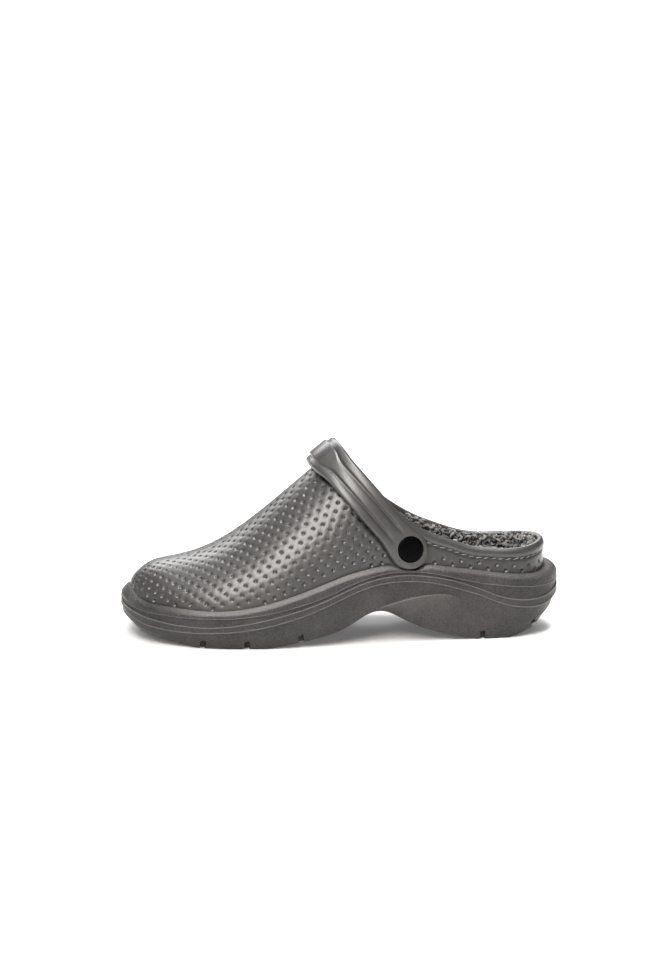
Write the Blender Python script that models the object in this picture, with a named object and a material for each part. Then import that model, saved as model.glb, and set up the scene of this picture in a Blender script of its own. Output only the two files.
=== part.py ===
"""Fur-lined clog for a left foot: a hollow foam upper in a foam cup sole, with a swing strap on two rivets.

Sizes are in millimetres, and MM turns them into metres where a mesh is made. +X points to the toe, +Y to the
outer side of the foot and +Z up. A station is a distance forward from the back of the sole.
"""

import math
import random
from collections import namedtuple

import bmesh
import bpy
import numpy as np
from mathutils import Matrix, Vector

MM = 0.001
LATERAL = 1
MEDIAL = -1
FRONT = 1
BACK = -1

# Driving sizes
LENGTH = 260.0  # sole, heel to toe
BALL_WIDTH = 92.0  # upper, across the ball
INSTEP_HEIGHT = 107.4  # top of the throat above the floor
SOLE_HEIGHT = 48.0  # rim of the sole at the waist above the floor
WALL = 3.2  # foam wall of the upper
GAP = 0.3  # play between two moulded pieces

# The last in percent: stations of LENGTH, widths and centre line of BALL_WIDTH, crest of INSTEP_HEIGHT.
# Fullness is the power of the superellipse that a section follows and lean is how far its wall comes in, in
# percent of its rise. Behind the throat the crest is the imaginary top of the quarter walls.
Section = namedtuple("Section", "station lateral medial centre crest fullness lean")
LAST = (
    Section(0.0, 34.3, 34.3, 0.0, 156.5, 2.2, 13),
    Section(15.4, 35.2, 34.8, 0.0, 154.6, 2.2, 13),
    Section(26.9, 37.1, 35.1, 0.0, 145.3, 2.15, 12),
    Section(35.8, 39.3, 36.0, 0.0, 131.3, 2.05, 6),
    Section(44.2, 42.7, 38.2, -0.5, 115.5, 1.95, 2),
    Section(52.3, 46.1, 41.6, -1.1, 100.0, 1.92, 0),
    Section(58.8, 48.5, 44.9, -1.7, 87.1, 1.95, 0),
    Section(67.3, 50.2, 48.3, -2.8, 69.4, 2.05, 0),
    Section(75.4, 49.8, 49.8, -4.5, 54.6, 2.15, 0),
    Section(81.2, 48.7, 49.4, -5.8, 47.2, 2.2, 0),
    Section(86.5, 47.5, 48.3, -7.1, 43.4, 2.2, 0),
    Section(92.3, 46.1, 46.6, -8.4, 41.4, 2.2, 0),
    Section(98.5, 44.9, 44.9, -9.8, 40.8, 2.2, 0),
)

# The top edge of the quarter in percent: stations of LENGTH, heights of INSTEP_HEIGHT.
Edge = namedtuple("Edge", "station lateral medial")
COLLAR = (
    Edge(3.0, 50.6, 50.6),
    Edge(7.7, 48.9, 49.1),
    Edge(12.7, 48.5, 48.3),
    Edge(18.1, 49.6, 48.7),
    Edge(21.9, 50.9, 50.6),
    Edge(26.2, 54.5, 54.2),
    Edge(30.8, 58.5, 58.6),
    Edge(36.2, 66.5, 66.0),
    Edge(41.2, 76.5, 75.0),
    Edge(46.9, 88.5, 87.5),
    Edge(52.3, 100.0, 100.0),
)

# The sole: stations in percent of LENGTH, heights in percent of SOLE_HEIGHT, the last three in millimetres.
# The rim stands a ledge outside the upper and its brow rounds it off. Below it come a shoulder, a raised
# ribbon and the breast line of the arch, and the bottom edge is tucked in. A tread below zero is cut flat.
Cut = namedtuple("Cut", "station rim shoulder ribbon_top ribbon_foot breast tread bed ledge tuck brow")
SOLE = (
    Cut(3.0, 82.9, 64.6, 59.6, 52.5, 38.5, 24.6, 56.3, 7.8, 8.0, 4.5),
    Cut(5.8, 79.8, 62.9, 50.8, 42.1, 28.1, 14.0, 52.1, 7.4, 6.2, 4),
    Cut(10.0, 79.8, 63.3, 48.3, 39.2, 19.8, 4.6, 50.0, 6.4, 4.6, 3.5),
    Cut(14.6, 82.3, 66.3, 52.5, 44.4, 18.8, -1.0, 50.0, 5.7, 3.8, 3.2),
    Cut(19.2, 86.0, 69.6, 62.1, 54.6, 27.1, -0.6, 52.1, 5.2, 3.4, 3.0),
    Cut(24.2, 90.2, 75.6, 72.1, 64.0, 50.0, 3.3, 55.0, 5.0, 3.2, 3.0),
    Cut(31.2, 95.8, 84.6, 81.7, 74.2, 59.0, 13.8, 58.8, 4.8, 3.0, 3.0),
    Cut(37.3, 99.2, 88.3, 85.2, 77.7, 54.8, 27.9, 60.4, 4.7, 2.8, 3.0),
    Cut(42.3, 97.7, 87.1, 83.8, 76.7, 47.9, 40.8, 60.8, 4.7, 2.4, 3.0),
    Cut(46.2, 94.3, 82.9, 79.6, 72.5, 42.5, 37.5, 58.3, 4.7, 2.4, 3.0),
    Cut(50.4, 89.0, 75.0, 71.7, 64.6, 38.3, 24.2, 52.9, 4.8, 2.8, 3.0),
    Cut(55.8, 79.0, 62.9, 59.2, 51.7, 32.3, 13.3, 42.9, 4.9, 3.2, 3.0),
    Cut(62.3, 66.5, 51.7, 47.1, 38.8, 21.9, 6.0, 30.8, 5.0, 3.4, 3.0),
    Cut(69.6, 54.8, 42.7, 36.7, 28.3, 15.0, -0.4, 23.3, 5.0, 3.4, 3.0),
    Cut(81.9, 46.7, 37.1, 27.5, 20.8, 10.4, -0.6, 20.8, 5.0, 3.4, 3.0),
    Cut(92.3, 50.0, 38.8, 31.7, 22.9, 15.0, 7.1, 25.4, 4.8, 4.2, 3.0),
    Cut(95.8, 53.5, 41.3, 36.3, 28.3, 20.0, 11.7, 28.3, 4.6, 5.5, 3.6),
    Cut(98.3, 64.5, 45.8, 42.5, 38.3, 29.2, 19.6, 31.3, 4.5, 6.5, 6.5),
)

# Upper
HEEL_END = 7.8  # station of the back of the upper
TOE_END = 255.5  # station of its toe tip
HEEL_ROUND = 34.0
HEEL_POWER = 2.3
HEEL_LEAN = 0.35  # share of the lean that the back of the heel takes
TOE_ROUND = {LATERAL: 62.0, MEDIAL: 48.0}
TOE_POWER = {LATERAL: 2.2, MEDIAL: 2.4}
TOE_DROP = 22.5  # length over which the toe box turns down
TOE_DROP_POWER = 2.3
THROAT = 52.3 * LENGTH / 100
HEM_DEPTH = 6.0  # upper held inside the rim of the sole
COLLAR_ROLL = 0.9
ROLL_HEIGHT = 6.5
COLLAR_CROWN = 0.8

# Fleece
LINING = 3.2
LINING_GAP = 0.6
LINING_SKIRT = 2.4  # lower edge of the lining above the bed
TUFT_HEIGHT = 0.8
LINING_DROP = 1.8  # top of the lining below the collar
FRINGE_HEIGHT = 0.4
FLEECE_SEED = 7
INSOLE = 6.0
INSOLE_INSET = 9.0
INSOLE_ROUND = 1.5

# Sole details
BOWL_INSET = WALL + 0.2
BOWL_FILLET = 1.6
STEP = 0.7
WING = 0.9
WING_STATIONS = (62.0, 76.0, 104.0, 119.0)
BREAST_TUCK = 0.3  # share of the tuck reached at the breast line
EDGE = 1.4
SEAT_DIP = 4.5
SEAT_REACH = 13.0
SEAT_RIM = 0.9  # least height of the rim over the shoulder
GROOVES = (17.2, 50.4, 159.0, 191.0, 216.4)
GROOVE_WIDTH = 3.2
GROOVE_DEPTH = 4.0
GROOVE_REACH = 120.0

# Strap and rivets
RIVET_STATION = 95.2
RIVET_HEIGHT = 55.7
STRAP_LEAN = math.radians(49.3)  # strap plane above the floor
STRAP_REACH = 67.4  # rivet to the underside of the strap at its top
STRAP_POWER = 2.45
STRAP_BULGE = {LATERAL: 2.1, MEDIAL: 0.5}  # extra room over the sides of the instep
STRAP_GAP = 0.9
STRAP_END = 11.4
STRAP_WAIST = {BACK: 9.8, FRONT: 9.1}
STRAP_TOP = {BACK: 10.8, FRONT: 11.4}
STRAP_NECK = 17.0  # along the strap, as is the next
STRAP_FLARE = 56.0
STRAP_THICK = 4.6
STRAP_GROOVE = 1.2
GROOVE_START = (10.0, 18.0)
PAD_RISE = 1.0
PAD_START = 60.0  # along the strap
TOP_SPLAY = 0.04
HEAD_RADIUS = 7.6
SHANK_RADIUS = 3.3
FLANGE_RADIUS = 6.2
BORE_RADIUS = SHANK_RADIUS + GAP
STRAP_FLOOR = 2.2  # strap left under the rivet head
FLANGE_SEAT = 1.3  # wall of the upper left over the rivet flange
TURNS = 20

# Mesh density
HEEL_COLUMNS = 6
QUARTER_COLUMNS = 9
THROAT_COLUMNS = 5
VAMP_COLUMNS = 11
TOE_COLUMNS = 6
THROAT_REACH = 24.0
UPPER_ROWS = 9
LINING_ROWS = 8
STRAP_ARC = 26
STRAP_END_STEPS = 5


def natural_spline(places, values):
    """A smooth function of the place through all the values, level in bend at both ends."""
    places = np.array(places)
    values = np.array(values)
    last = len(places) - 1
    steps = np.diff(places)
    slopes = np.diff(values) / steps
    system = np.eye(last + 1)
    right = np.zeros(last + 1)
    for i in range(1, last):
        system[i, i - 1 : i + 2] = steps[i - 1], 2 * (steps[i - 1] + steps[i]), steps[i]
        right[i] = 6 * (slopes[i] - slopes[i - 1])
    bends = np.linalg.solve(system, right)

    def value(place):
        place = min(max(place, places[0]), places[-1])
        i = min(max(int(np.searchsorted(places, place, side="right")) - 1, 0), last - 1)
        step = steps[i]
        ahead = place - places[i]
        behind = places[i + 1] - place
        bent = (bends[i] * behind**3 + bends[i + 1] * ahead**3) / (6 * step)
        start = (values[i] / step - bends[i] * step / 6) * behind
        return float(bent + start + (values[i + 1] / step - bends[i + 1] * step / 6) * ahead)

    return value


def column(rows, name, size):
    """One column of a percent table as a smooth function of the station."""
    stations = [row.station * LENGTH / 100 for row in rows]
    return natural_spline(stations, [getattr(row, name) * size / 100 for row in rows])


WIDTH = {LATERAL: column(LAST, "lateral", BALL_WIDTH), MEDIAL: column(LAST, "medial", BALL_WIDTH)}
CENTRE = column(LAST, "centre", BALL_WIDTH)
CREST = column(LAST, "crest", INSTEP_HEIGHT)
FULLNESS = column(LAST, "fullness", 100)
LEAN = column(LAST, "lean", 1)
COLLAR_TOP = {
    LATERAL: column(COLLAR, "lateral", INSTEP_HEIGHT),
    MEDIAL: column(COLLAR, "medial", INSTEP_HEIGHT),
}
SOLE_LINE = {name: column(SOLE, name, SOLE_HEIGHT) for name in Cut._fields[1:8]}
LEDGE = column(SOLE, "ledge", 100)
TUCK = column(SOLE, "tuck", 100)
BROW = column(SOLE, "brow", 100)


def share_past(value, start, length):
    return min(max((value - start) / length, 0.0), 1.0)


def rounded(share, power):
    """The height left at a share of the way round a superelliptic end."""
    return (1 - share**power) ** (1 / power)


def eased(share):
    return share * share * (3 - 2 * share)


def half_width(station, side):
    heel = rounded(share_past(HEEL_END + HEEL_ROUND - station, 0, HEEL_ROUND), HEEL_POWER)
    start = TOE_END - TOE_ROUND[side]
    toe = rounded(share_past(station, start, TOE_ROUND[side]), TOE_POWER[side])
    return WIDTH[side](station) * heel * toe


def hem_height(station):
    return SOLE_LINE["rim"](station) - HEM_DEPTH


def section_height(station):
    """Rise of a section from the hem to its crest."""
    toe = rounded(share_past(station, TOE_END - TOE_DROP, TOE_DROP), TOE_DROP_POWER)
    return (CREST(station) - hem_height(station)) * toe


def section_point(station, side, angle):
    """A point of the upper: angle 0 is at the hem and a right angle is on the crest."""
    power = 2 / FULLNESS(station)
    spread = abs(math.cos(angle)) ** power
    rise = section_height(station) * math.sin(angle) ** power
    lean = max(LEAN(station), 0) * rise * spread
    heel = share_past(HEEL_END + HEEL_ROUND - station, 0, HEEL_ROUND)
    ahead = HEEL_LEAN * lean * heel ** (HEEL_POWER - 1)
    inward = lean * rounded(heel, HEEL_POWER) ** (HEEL_POWER - 1)
    across = half_width(station, side) * spread - inward
    return Vector((station - LENGTH / 2 + ahead, CENTRE(station) + side * across, hem_height(station) + rise))


def angle_at(station, height):
    rise = section_height(station)
    share = share_past(height, hem_height(station), rise) if rise > 0 else 1.0
    return math.asin(share ** (FULLNESS(station) / 2))


def top_angle(station, side, drop):
    if station >= THROAT:
        return math.pi / 2
    return angle_at(station, COLLAR_TOP[side](station) - drop)


def wall_y(station, height, side):
    return section_point(station, side, angle_at(station, height)).y


def wall_normal(station, height, side):
    """Outward direction of the upper on one side."""
    reach = 0.5
    along = wall_y(station + reach, height, side) - wall_y(station - reach, height, side)
    up = wall_y(station, height + reach, side) - wall_y(station, height - reach, side)
    return (Vector((-along / (2 * reach), 1, -up / (2 * reach))) * side).normalized()


def column_stations():
    """Stations of the mesh columns, close together where the outline or the throat turns fast."""
    heel = [
        HEEL_END + HEEL_ROUND * (1 - math.cos(math.pi / 2 * i / HEEL_COLUMNS)) for i in range(HEEL_COLUMNS)
    ]
    front = THROAT - THROAT_REACH
    quarter = list(np.linspace(HEEL_END + HEEL_ROUND, front, QUARTER_COLUMNS + 1))[:-1]
    throat = [
        THROAT - THROAT_REACH * ((THROAT_COLUMNS - i) / THROAT_COLUMNS) ** 2 for i in range(THROAT_COLUMNS)
    ]
    turn = TOE_END - TOE_DROP
    vamp = list(np.linspace(THROAT, turn, VAMP_COLUMNS + 1))[:-1]
    toe = [turn + TOE_DROP * math.sin(math.pi / 2 * i / TOE_COLUMNS) for i in range(TOE_COLUMNS + 1)]
    return heel + quarter + throat + vamp + toe


STATIONS = column_stations()


def wall_skin(drop, rows, skirt):
    """The outer face of the upper as an open mesh, with its collar lowered and a skirt down to the bed if asked."""
    bm = bmesh.new()
    for side in (LATERAL, MEDIAL):
        columns = []
        for station in STATIONS:
            top = top_angle(station, side, drop)
            points = [section_point(station, side, top * j / rows) for j in range(rows + 1)]
            if skirt:
                foot = points[0].copy()
                foot.z = SOLE_LINE["bed"](station) + LINING_SKIRT
                points = [foot] + points
            columns.append([bm.verts.new(point) for point in points])
        for back, front in zip(columns, columns[1:]):
            for j in range(len(back) - 1):
                corners = [back[j], back[j + 1], front[j + 1], front[j]]
                bm.faces.new(corners if side == LATERAL else corners[::-1])
    bmesh.ops.remove_doubles(bm, verts=bm.verts, dist=1e-3)
    bmesh.ops.dissolve_degenerate(bm, edges=bm.edges, dist=1e-3)
    bm.normal_update()
    bm.verts.index_update()
    for v in bm.verts:
        if v.is_boundary and not on_collar(v):
            v.normal = Vector((v.normal.x, v.normal.y, 0)).normalized()
    return bm


def rim_direction(vert):
    """At an open edge, the way out of the surface along itself."""
    inward = Vector()
    for edge in vert.link_edges:
        if not edge.is_boundary:
            inward += (edge.other_vert(vert).co - vert.co).normalized()
    return -inward.normalized()


def shell(skin, outer, inner, crown):
    """A closed wall between two offsets of a skin; crown raises the middle of its open edges."""
    bm = bmesh.new()
    outside = [bm.verts.new(v.co + v.normal * outer(v)) for v in skin.verts]
    inside = [bm.verts.new(v.co - v.normal * inner(v)) for v in skin.verts]
    ridge = {}
    for v in skin.verts:
        if v.is_boundary:
            middle = (outside[v.index].co + inside[v.index].co) / 2
            ridge[v.index] = bm.verts.new(middle + rim_direction(v) * crown(v))
    for face in skin.faces:
        bm.faces.new([outside[v.index] for v in face.verts])
        bm.faces.new([inside[v.index] for v in reversed(face.verts)])
    for edge in skin.edges:
        if edge.is_boundary:
            start = edge.link_loops[0].vert.index
            end = edge.link_loops[0].link_loop_next.vert.index
            bm.faces.new([outside[end], outside[start], ridge[start], ridge[end]])
            bm.faces.new([ridge[end], ridge[start], inside[start], inside[end]])
    return bm


def collar_line():
    stations = [station for station in STATIONS if station <= THROAT]
    return [section_point(s, side, top_angle(s, side, 0.0)) for side in (LATERAL, MEDIAL) for s in stations]


def on_collar(vert):
    """True on the edge the foot goes in by, false on the hem."""
    station = vert.co.x + LENGTH / 2
    return vert.co.z > hem_height(station) + ROLL_HEIGHT


def upper_shell():
    skin = wall_skin(0.0, UPPER_ROWS, False)
    line = np.array(collar_line())
    roll = {}
    for v in skin.verts:
        away = float(np.linalg.norm(line - np.array(v.co), axis=1).min())
        offset = 2 * share_past(away, 0, ROLL_HEIGHT) - 1
        roll[v.index] = COLLAR_ROLL * math.sqrt(1 - offset * offset)
    return shell(
        skin, lambda v: roll[v.index], lambda v: WALL, lambda v: COLLAR_CROWN if on_collar(v) else 0.0
    )


def lining_shell():
    """Curly fleece inside the wall, lumpy on the foot side and standing up in a fringe at the collar."""
    skin = wall_skin(LINING_DROP, LINING_ROWS, True)
    dice = random.Random(FLEECE_SEED)
    tufts = [dice.uniform(-1, 1) for v in skin.verts]
    return shell(
        skin,
        lambda v: -(WALL + LINING_GAP),
        lambda v: WALL + LINING_GAP + LINING + TUFT_HEIGHT * tufts[v.index],
        lambda v: FRINGE_HEIGHT + TUFT_HEIGHT * tufts[v.index] if on_collar(v) else 0.0,
    )


Rim = namedtuple("Rim", "station x y out_x out_y")


def outline():
    """The hem of the upper in plan, lateral side forward and medial side back, with its outward directions."""
    places = [(s, LATERAL) for s in STATIONS] + [(s, MEDIAL) for s in reversed(STATIONS[1:-1])]
    points = [section_point(station, side, 0.0) for station, side in places]
    rims = []
    for i, (station, _) in enumerate(places):
        before = points[i] - points[i - 1]
        after = points[(i + 1) % len(points)] - points[i]
        first = Vector((-before.y, before.x)).normalized()
        second = Vector((-after.y, after.x)).normalized()
        out = (first + second) / (1 + first.dot(second))
        rims.append(Rim(station, points[i].x, points[i].y, out.x, out.y))
    return rims


def line_at(name, rim, out):
    """Height of a line of the sole under a point that stands off the outline."""
    return SOLE_LINE[name](rim.x + out * rim.out_x + LENGTH / 2)


def tread_at(rim, out):
    return max(line_at("tread", rim, out), 0.0)


def seat_dip(station):
    """The rim dips under the round end of the strap."""
    away = share_past(abs(station - RIVET_STATION), 0, SEAT_REACH)
    return SEAT_DIP * math.cos(math.pi / 2 * away) ** 2


def wing_step(station):
    start, full, fade, end = WING_STATIONS
    return WING * eased(share_past(station, start, full - start)) * eased(share_past(-station, -end, end - fade))


def sole_profile(rim):
    """Rows of the sole from the edge of the bed, over the rim and down the side to the tread."""
    station = rim.station
    line = {name: curve(station) for name, curve in SOLE_LINE.items()}
    ledge = LEDGE(station)
    tuck = TUCK(station)
    shoulder = line["shoulder"] + STEP
    top = max(line["rim"] - seat_dip(station), shoulder + SEAT_RIM)
    brow = min(BROW(station), 0.7 * (top - shoulder))
    shelf = hem_height(station) - GAP
    breast_out = ledge - STEP - BREAST_TUCK * tuck
    bed_edge = -BOWL_INSET - BOWL_FILLET
    edge_out = ledge - tuck
    sole_out = edge_out - EDGE
    return [
        (bed_edge, line_at("bed", rim, bed_edge)),
        (-BOWL_INSET, line_at("bed", rim, -BOWL_INSET) + BOWL_FILLET),
        (-BOWL_INSET, shelf),
        (GAP, shelf),
        (GAP, top - STEP),
        (0.35 * ledge, top),
        (0.75 * ledge, top - 0.3 * brow),
        (ledge, top - brow),
        (ledge, shoulder),
        (ledge - STEP, line["shoulder"]),
        (ledge - STEP, line["ribbon_top"] + STEP),
        (ledge, line["ribbon_top"]),
        (ledge, line["ribbon_foot"]),
        (ledge - STEP, line["ribbon_foot"] - STEP),
        (breast_out, line["breast"] + STEP),
        (breast_out + wing_step(station), line["breast"]),
        (edge_out, tread_at(rim, edge_out) + EDGE),
        (sole_out, tread_at(rim, sole_out)),
    ]


def ringed(rims, profiles):
    """A closed body from rows of points round an outline, capped across at the first and the last row."""
    bm = bmesh.new()
    rows = []
    for j in range(len(profiles[0])):
        row = []
        for rim, profile in zip(rims, profiles):
            out, height = profile[j]
            row.append(bm.verts.new((rim.x + out * rim.out_x, rim.y + out * rim.out_y, height)))
        rows.append(row)
    count = len(rims)
    for upper, lower in zip(rows, rows[1:]):
        for i in range(count):
            after = (i + 1) % count
            bm.faces.new([upper[i], lower[i], lower[after], upper[after]])
    for i in range(count // 2):
        mates = [i, i + 1, (count - i - 1) % count, (count - i) % count]
        corners = list(dict.fromkeys(mates))
        bm.faces.new([rows[0][k] for k in corners])
        bm.faces.new([rows[-1][k] for k in reversed(corners)])
    bmesh.ops.recalc_face_normals(bm, faces=bm.faces)
    return bm


def sole_body():
    rims = outline()
    return ringed(rims, [sole_profile(rim) for rim in rims])


def insole_body():
    rims = outline()
    profiles = []
    for rim in rims:
        inset = INSOLE_INSET + INSOLE_ROUND
        rows = [(inset, INSOLE), (INSOLE_INSET, INSOLE - INSOLE_ROUND)]
        rows += [(INSOLE_INSET, GAP + INSOLE_ROUND), (inset, GAP)]
        profiles.append([(-far, line_at("bed", rim, -far) + rise) for far, rise in rows])
    return ringed(rims, profiles)


def groove_cutter(station):
    """A bar across the sole that leaves one tread groove."""
    reach = 4.0
    ahead = max(SOLE_LINE["tread"](station + reach), 0)
    behind = max(SOLE_LINE["tread"](station - reach), 0)
    height = max(SOLE_LINE["tread"](station), 0)
    bm = bmesh.new()
    bmesh.ops.create_cube(bm, size=1)
    size = Matrix.Diagonal((GROOVE_WIDTH, GROOVE_REACH, 2 * GROOVE_DEPTH, 1))
    tilt = Matrix.Rotation(-math.atan2(ahead - behind, 2 * reach), 4, "Y")
    place = Matrix.Translation((station - LENGTH / 2, 0, height))
    bmesh.ops.transform(bm, matrix=place @ tilt @ size, verts=bm.verts)
    return bm


def rivet_frame(side):
    """The rivet axis as a matrix whose origin is on the upper and whose Z points out of it."""
    normal = wall_normal(RIVET_STATION, RIVET_HEIGHT, side)
    place = Vector((RIVET_STATION - LENGTH / 2, wall_y(RIVET_STATION, RIVET_HEIGHT, side), RIVET_HEIGHT))
    return Matrix.Translation(place) @ normal.to_track_quat("Z", "Y").to_matrix().to_4x4()


def turned(profile, frame):
    """A body turned about the Z axis of a frame from (radius, height) points that start and end on it."""
    bm = bmesh.new()
    verts = [bm.verts.new((radius, 0, height)) for radius, height in profile]
    edges = [bm.edges.new(pair) for pair in zip(verts, verts[1:])]
    bmesh.ops.spin(
        bm, geom=verts + edges, axis=(0, 0, 1), cent=(0, 0, 0), angle=math.tau, steps=TURNS, use_merge=True
    )
    bmesh.ops.remove_doubles(bm, verts=bm.verts, dist=1e-3)
    bmesh.ops.recalc_face_normals(bm, faces=bm.faces)
    bmesh.ops.transform(bm, matrix=frame, verts=bm.verts)
    return bm


def rivet_body(side):
    seat = STRAP_GAP + STRAP_FLOOR + GAP
    crown = STRAP_GAP + STRAP_THICK + 0.5
    flange = -FLANGE_SEAT - GAP
    back = GAP - WALL
    profile = [(0, crown), (0.8 * HEAD_RADIUS, crown), (HEAD_RADIUS, crown - 0.9), (HEAD_RADIUS, seat)]
    profile += [(SHANK_RADIUS, seat), (SHANK_RADIUS, flange), (FLANGE_RADIUS, flange)]
    return turned(profile + [(FLANGE_RADIUS, back), (0, back)], rivet_frame(side))


def upper_bore(side):
    wide = FLANGE_RADIUS + GAP
    profile = [(0, -3 * WALL), (wide, -3 * WALL), (wide, -FLANGE_SEAT), (BORE_RADIUS, -FLANGE_SEAT)]
    return turned(profile + [(BORE_RADIUS, WALL), (0, WALL)], rivet_frame(side))


def strap_bore(side):
    wide = HEAD_RADIUS + GAP
    floor = STRAP_GAP + STRAP_FLOOR
    top = STRAP_GAP + 2 * STRAP_THICK
    profile = [(0, -WALL), (BORE_RADIUS, -WALL), (BORE_RADIUS, floor), (wide, floor), (wide, top), (0, top)]
    return turned(profile, rivet_frame(side))


ALONG = Vector((math.cos(STRAP_LEAN), 0, math.sin(STRAP_LEAN)))  # from the rivets to the top of the strap
FORWARD = Vector((math.sin(STRAP_LEAN), 0, -math.cos(STRAP_LEAN)))  # to the front edge of the strap


def strap_path():
    """(across, along) points of the underside of the strap in its own plane, from the lateral end round."""
    outer = wall_y(RIVET_STATION, RIVET_HEIGHT, LATERAL) + STRAP_GAP
    inner = wall_y(RIVET_STATION, RIVET_HEIGHT, MEDIAL) - STRAP_GAP
    shift = CENTRE(RIVET_STATION + STRAP_REACH * ALONG.x) - (outer + inner) / 2
    path = []
    for i in range(STRAP_ARC + 1):
        turn = math.pi * i / STRAP_ARC
        reach = math.copysign(abs(math.cos(turn)) ** (2 / STRAP_POWER), math.cos(turn))
        rise = abs(math.sin(turn)) ** (2 / STRAP_POWER)
        side = LATERAL if reach > 0 else MEDIAL
        room = side * STRAP_BULGE[side] * math.sin(math.pi * rise)
        across = (outer + inner) / 2 + reach * (outer - inner) / 2 + shift * rise + room
        path.append((across, STRAP_REACH * rise))
    ends = [-STRAP_END * math.sin(1.5 * i / STRAP_END_STEPS) for i in range(STRAP_END_STEPS, 0, -1)]
    return [(outer, h) for h in ends] + path + [(inner, h) for h in reversed(ends)]


def strap_half(along, edge):
    """Width of the strap from its middle line to its back or front edge."""
    if along < 0:
        return math.sqrt(STRAP_END**2 - along**2)
    waist = STRAP_WAIST[edge]
    neck = STRAP_END + (waist - STRAP_END) * eased(share_past(along, 0, STRAP_NECK))
    return neck + (STRAP_TOP[edge] - waist) * eased(share_past(along, STRAP_FLARE, STRAP_REACH - STRAP_FLARE))


def strap_section(along):
    """(share of the half width, height) points round the strap: flat under, three ribs and two grooves on top."""
    start, full = GROOVE_START
    on_top = eased(share_past(along, PAD_START, STRAP_REACH - PAD_START))
    pad = STRAP_THICK + PAD_RISE * on_top
    valley = STRAP_THICK - STRAP_GROOVE * eased(share_past(along, start, full - start)) * (1 - on_top / 2)
    edge = STRAP_THICK - 1.6
    right = [(0.87, 0), (1.0, 1.2), (1.0, edge), (0.87, STRAP_THICK), (0.52 + 0.16 * on_top, STRAP_THICK)]
    right += [(0.42 + 0.2 * on_top, valley), (0.32 + 0.26 * on_top, valley), (0.22 + 0.28 * on_top, pad)]
    return right + [(-share, height) for share, height in reversed(right)]


def strap_splay(side):
    """Slope of the wall across the strap at a rivet."""
    normal = wall_normal(RIVET_STATION, RIVET_HEIGHT, side)
    return -normal.dot(FORWARD) / abs(normal.y)


def strap_body():
    bm = bmesh.new()
    path = strap_path()
    base = Vector((RIVET_STATION - LENGTH / 2, 0, RIVET_HEIGHT))
    middle = CENTRE(RIVET_STATION)
    loops = []
    for i, (across, along) in enumerate(path):
        before = path[max(i - 1, 0)]
        after = path[min(i + 1, len(path) - 1)]
        normal = Vector((0, after[1] - before[1], 0)) - ALONG * (after[0] - before[0])
        normal.normalize()
        rise = share_past(along, 0, STRAP_REACH)
        side = LATERAL if across > middle else MEDIAL
        splay = strap_splay(side) * (1 - rise**4) + TOP_SPLAY * rise**4
        place = base + Vector((0, across, 0)) + ALONG * along
        loop = []
        for share, height in strap_section(along):
            wide = share * strap_half(along, FRONT if share > 0 else BACK)
            loop.append(bm.verts.new(place + FORWARD * wide + normal * (height + splay * wide)))
        loops.append(loop)
    for back, front in zip(loops, loops[1:]):
        for j in range(len(back)):
            after = (j + 1) % len(back)
            bm.faces.new([back[j], back[after], front[after], front[j]])
    bm.faces.new(loops[0])
    bm.faces.new(loops[-1])
    bmesh.ops.recalc_face_normals(bm, faces=bm.faces)
    return bm


def foam(name, colour, roughness):
    material = bpy.data.materials.new(name)
    material.use_nodes = True
    shader = material.node_tree.nodes["Principled BSDF"]
    shader.inputs["Base Color"].default_value = (*colour, 1)
    shader.inputs["Roughness"].default_value = roughness
    return material


def add_object(name, bm, material=None):
    bmesh.ops.scale(bm, vec=(MM, MM, MM), verts=bm.verts)
    mesh = bpy.data.meshes.new(name)
    bm.to_mesh(mesh)
    bm.free()
    obj = bpy.data.objects.new(name, mesh)
    bpy.context.scene.collection.objects.link(obj)
    if material:
        mesh.materials.append(material)
    return obj


def cut(obj, bm, name):
    cutter = add_object(name, bm)
    cutter.hide_render = True
    cutter.display_type = "WIRE"
    modifier = obj.modifiers.new(name, "BOOLEAN")
    modifier.operation = "DIFFERENCE"
    modifier.solver = "EXACT"
    modifier.object = cutter


def centre_on_floor(objects, sized):
    """Moves everything so that the box round the finished pieces stands on the origin."""
    corners = np.array([obj.matrix_world @ Vector(corner) for obj in sized for corner in obj.bound_box])
    low = corners.min(axis=0)
    high = corners.max(axis=0)
    shift = Vector((-(low[0] + high[0]) / 2, -(low[1] + high[1]) / 2, -low[2]))
    for obj in objects:
        obj.location += shift


def build():
    for obj in list(bpy.data.objects):
        bpy.data.objects.remove(obj)
    upper_foam = foam("upper_foam", (0.19, 0.18, 0.18), 0.4)
    sole_foam = foam("sole_foam", (0.14, 0.13, 0.13), 0.6)
    fleece = foam("fleece", (0.12, 0.12, 0.12), 1.0)
    rivet_plastic = foam("rivet_plastic", (0.006, 0.006, 0.006), 0.25)
    upper = add_object("upper", upper_shell(), upper_foam)
    sole = add_object("sole", sole_body(), sole_foam)
    strap = add_object("strap", strap_body(), upper_foam)
    pieces = [upper, sole, strap]
    pieces.append(add_object("fleece_lining", lining_shell(), fleece))
    pieces.append(add_object("fleece_insole", insole_body(), fleece))
    for side, word in ((LATERAL, "lateral"), (MEDIAL, "medial")):
        pieces.append(add_object(f"rivet_{word}", rivet_body(side), rivet_plastic))
        cut(upper, upper_bore(side), f"upper_bore_{word}")
        cut(strap, strap_bore(side), f"strap_bore_{word}")
    for number, station in enumerate(GROOVES):
        cut(sole, groove_cutter(station), f"tread_groove_{number}")
    bpy.context.view_layer.update()
    centre_on_floor(bpy.data.objects, pieces)


build()
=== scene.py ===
"""Looks of a fur-lined clog for a left foot: dimpled foam upper, grained cup sole, ribbed strap and curly fleece.

Shapes are worked out in millimetres from the same last as the solids, and MM turns them into metres where a mesh
is made. +X points to the toe, +Y to the outer side of the foot and +Z up. A station is a distance forward from the
back of the sole, and a girth is a distance up the outside of the upper from its hem.
"""

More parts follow.
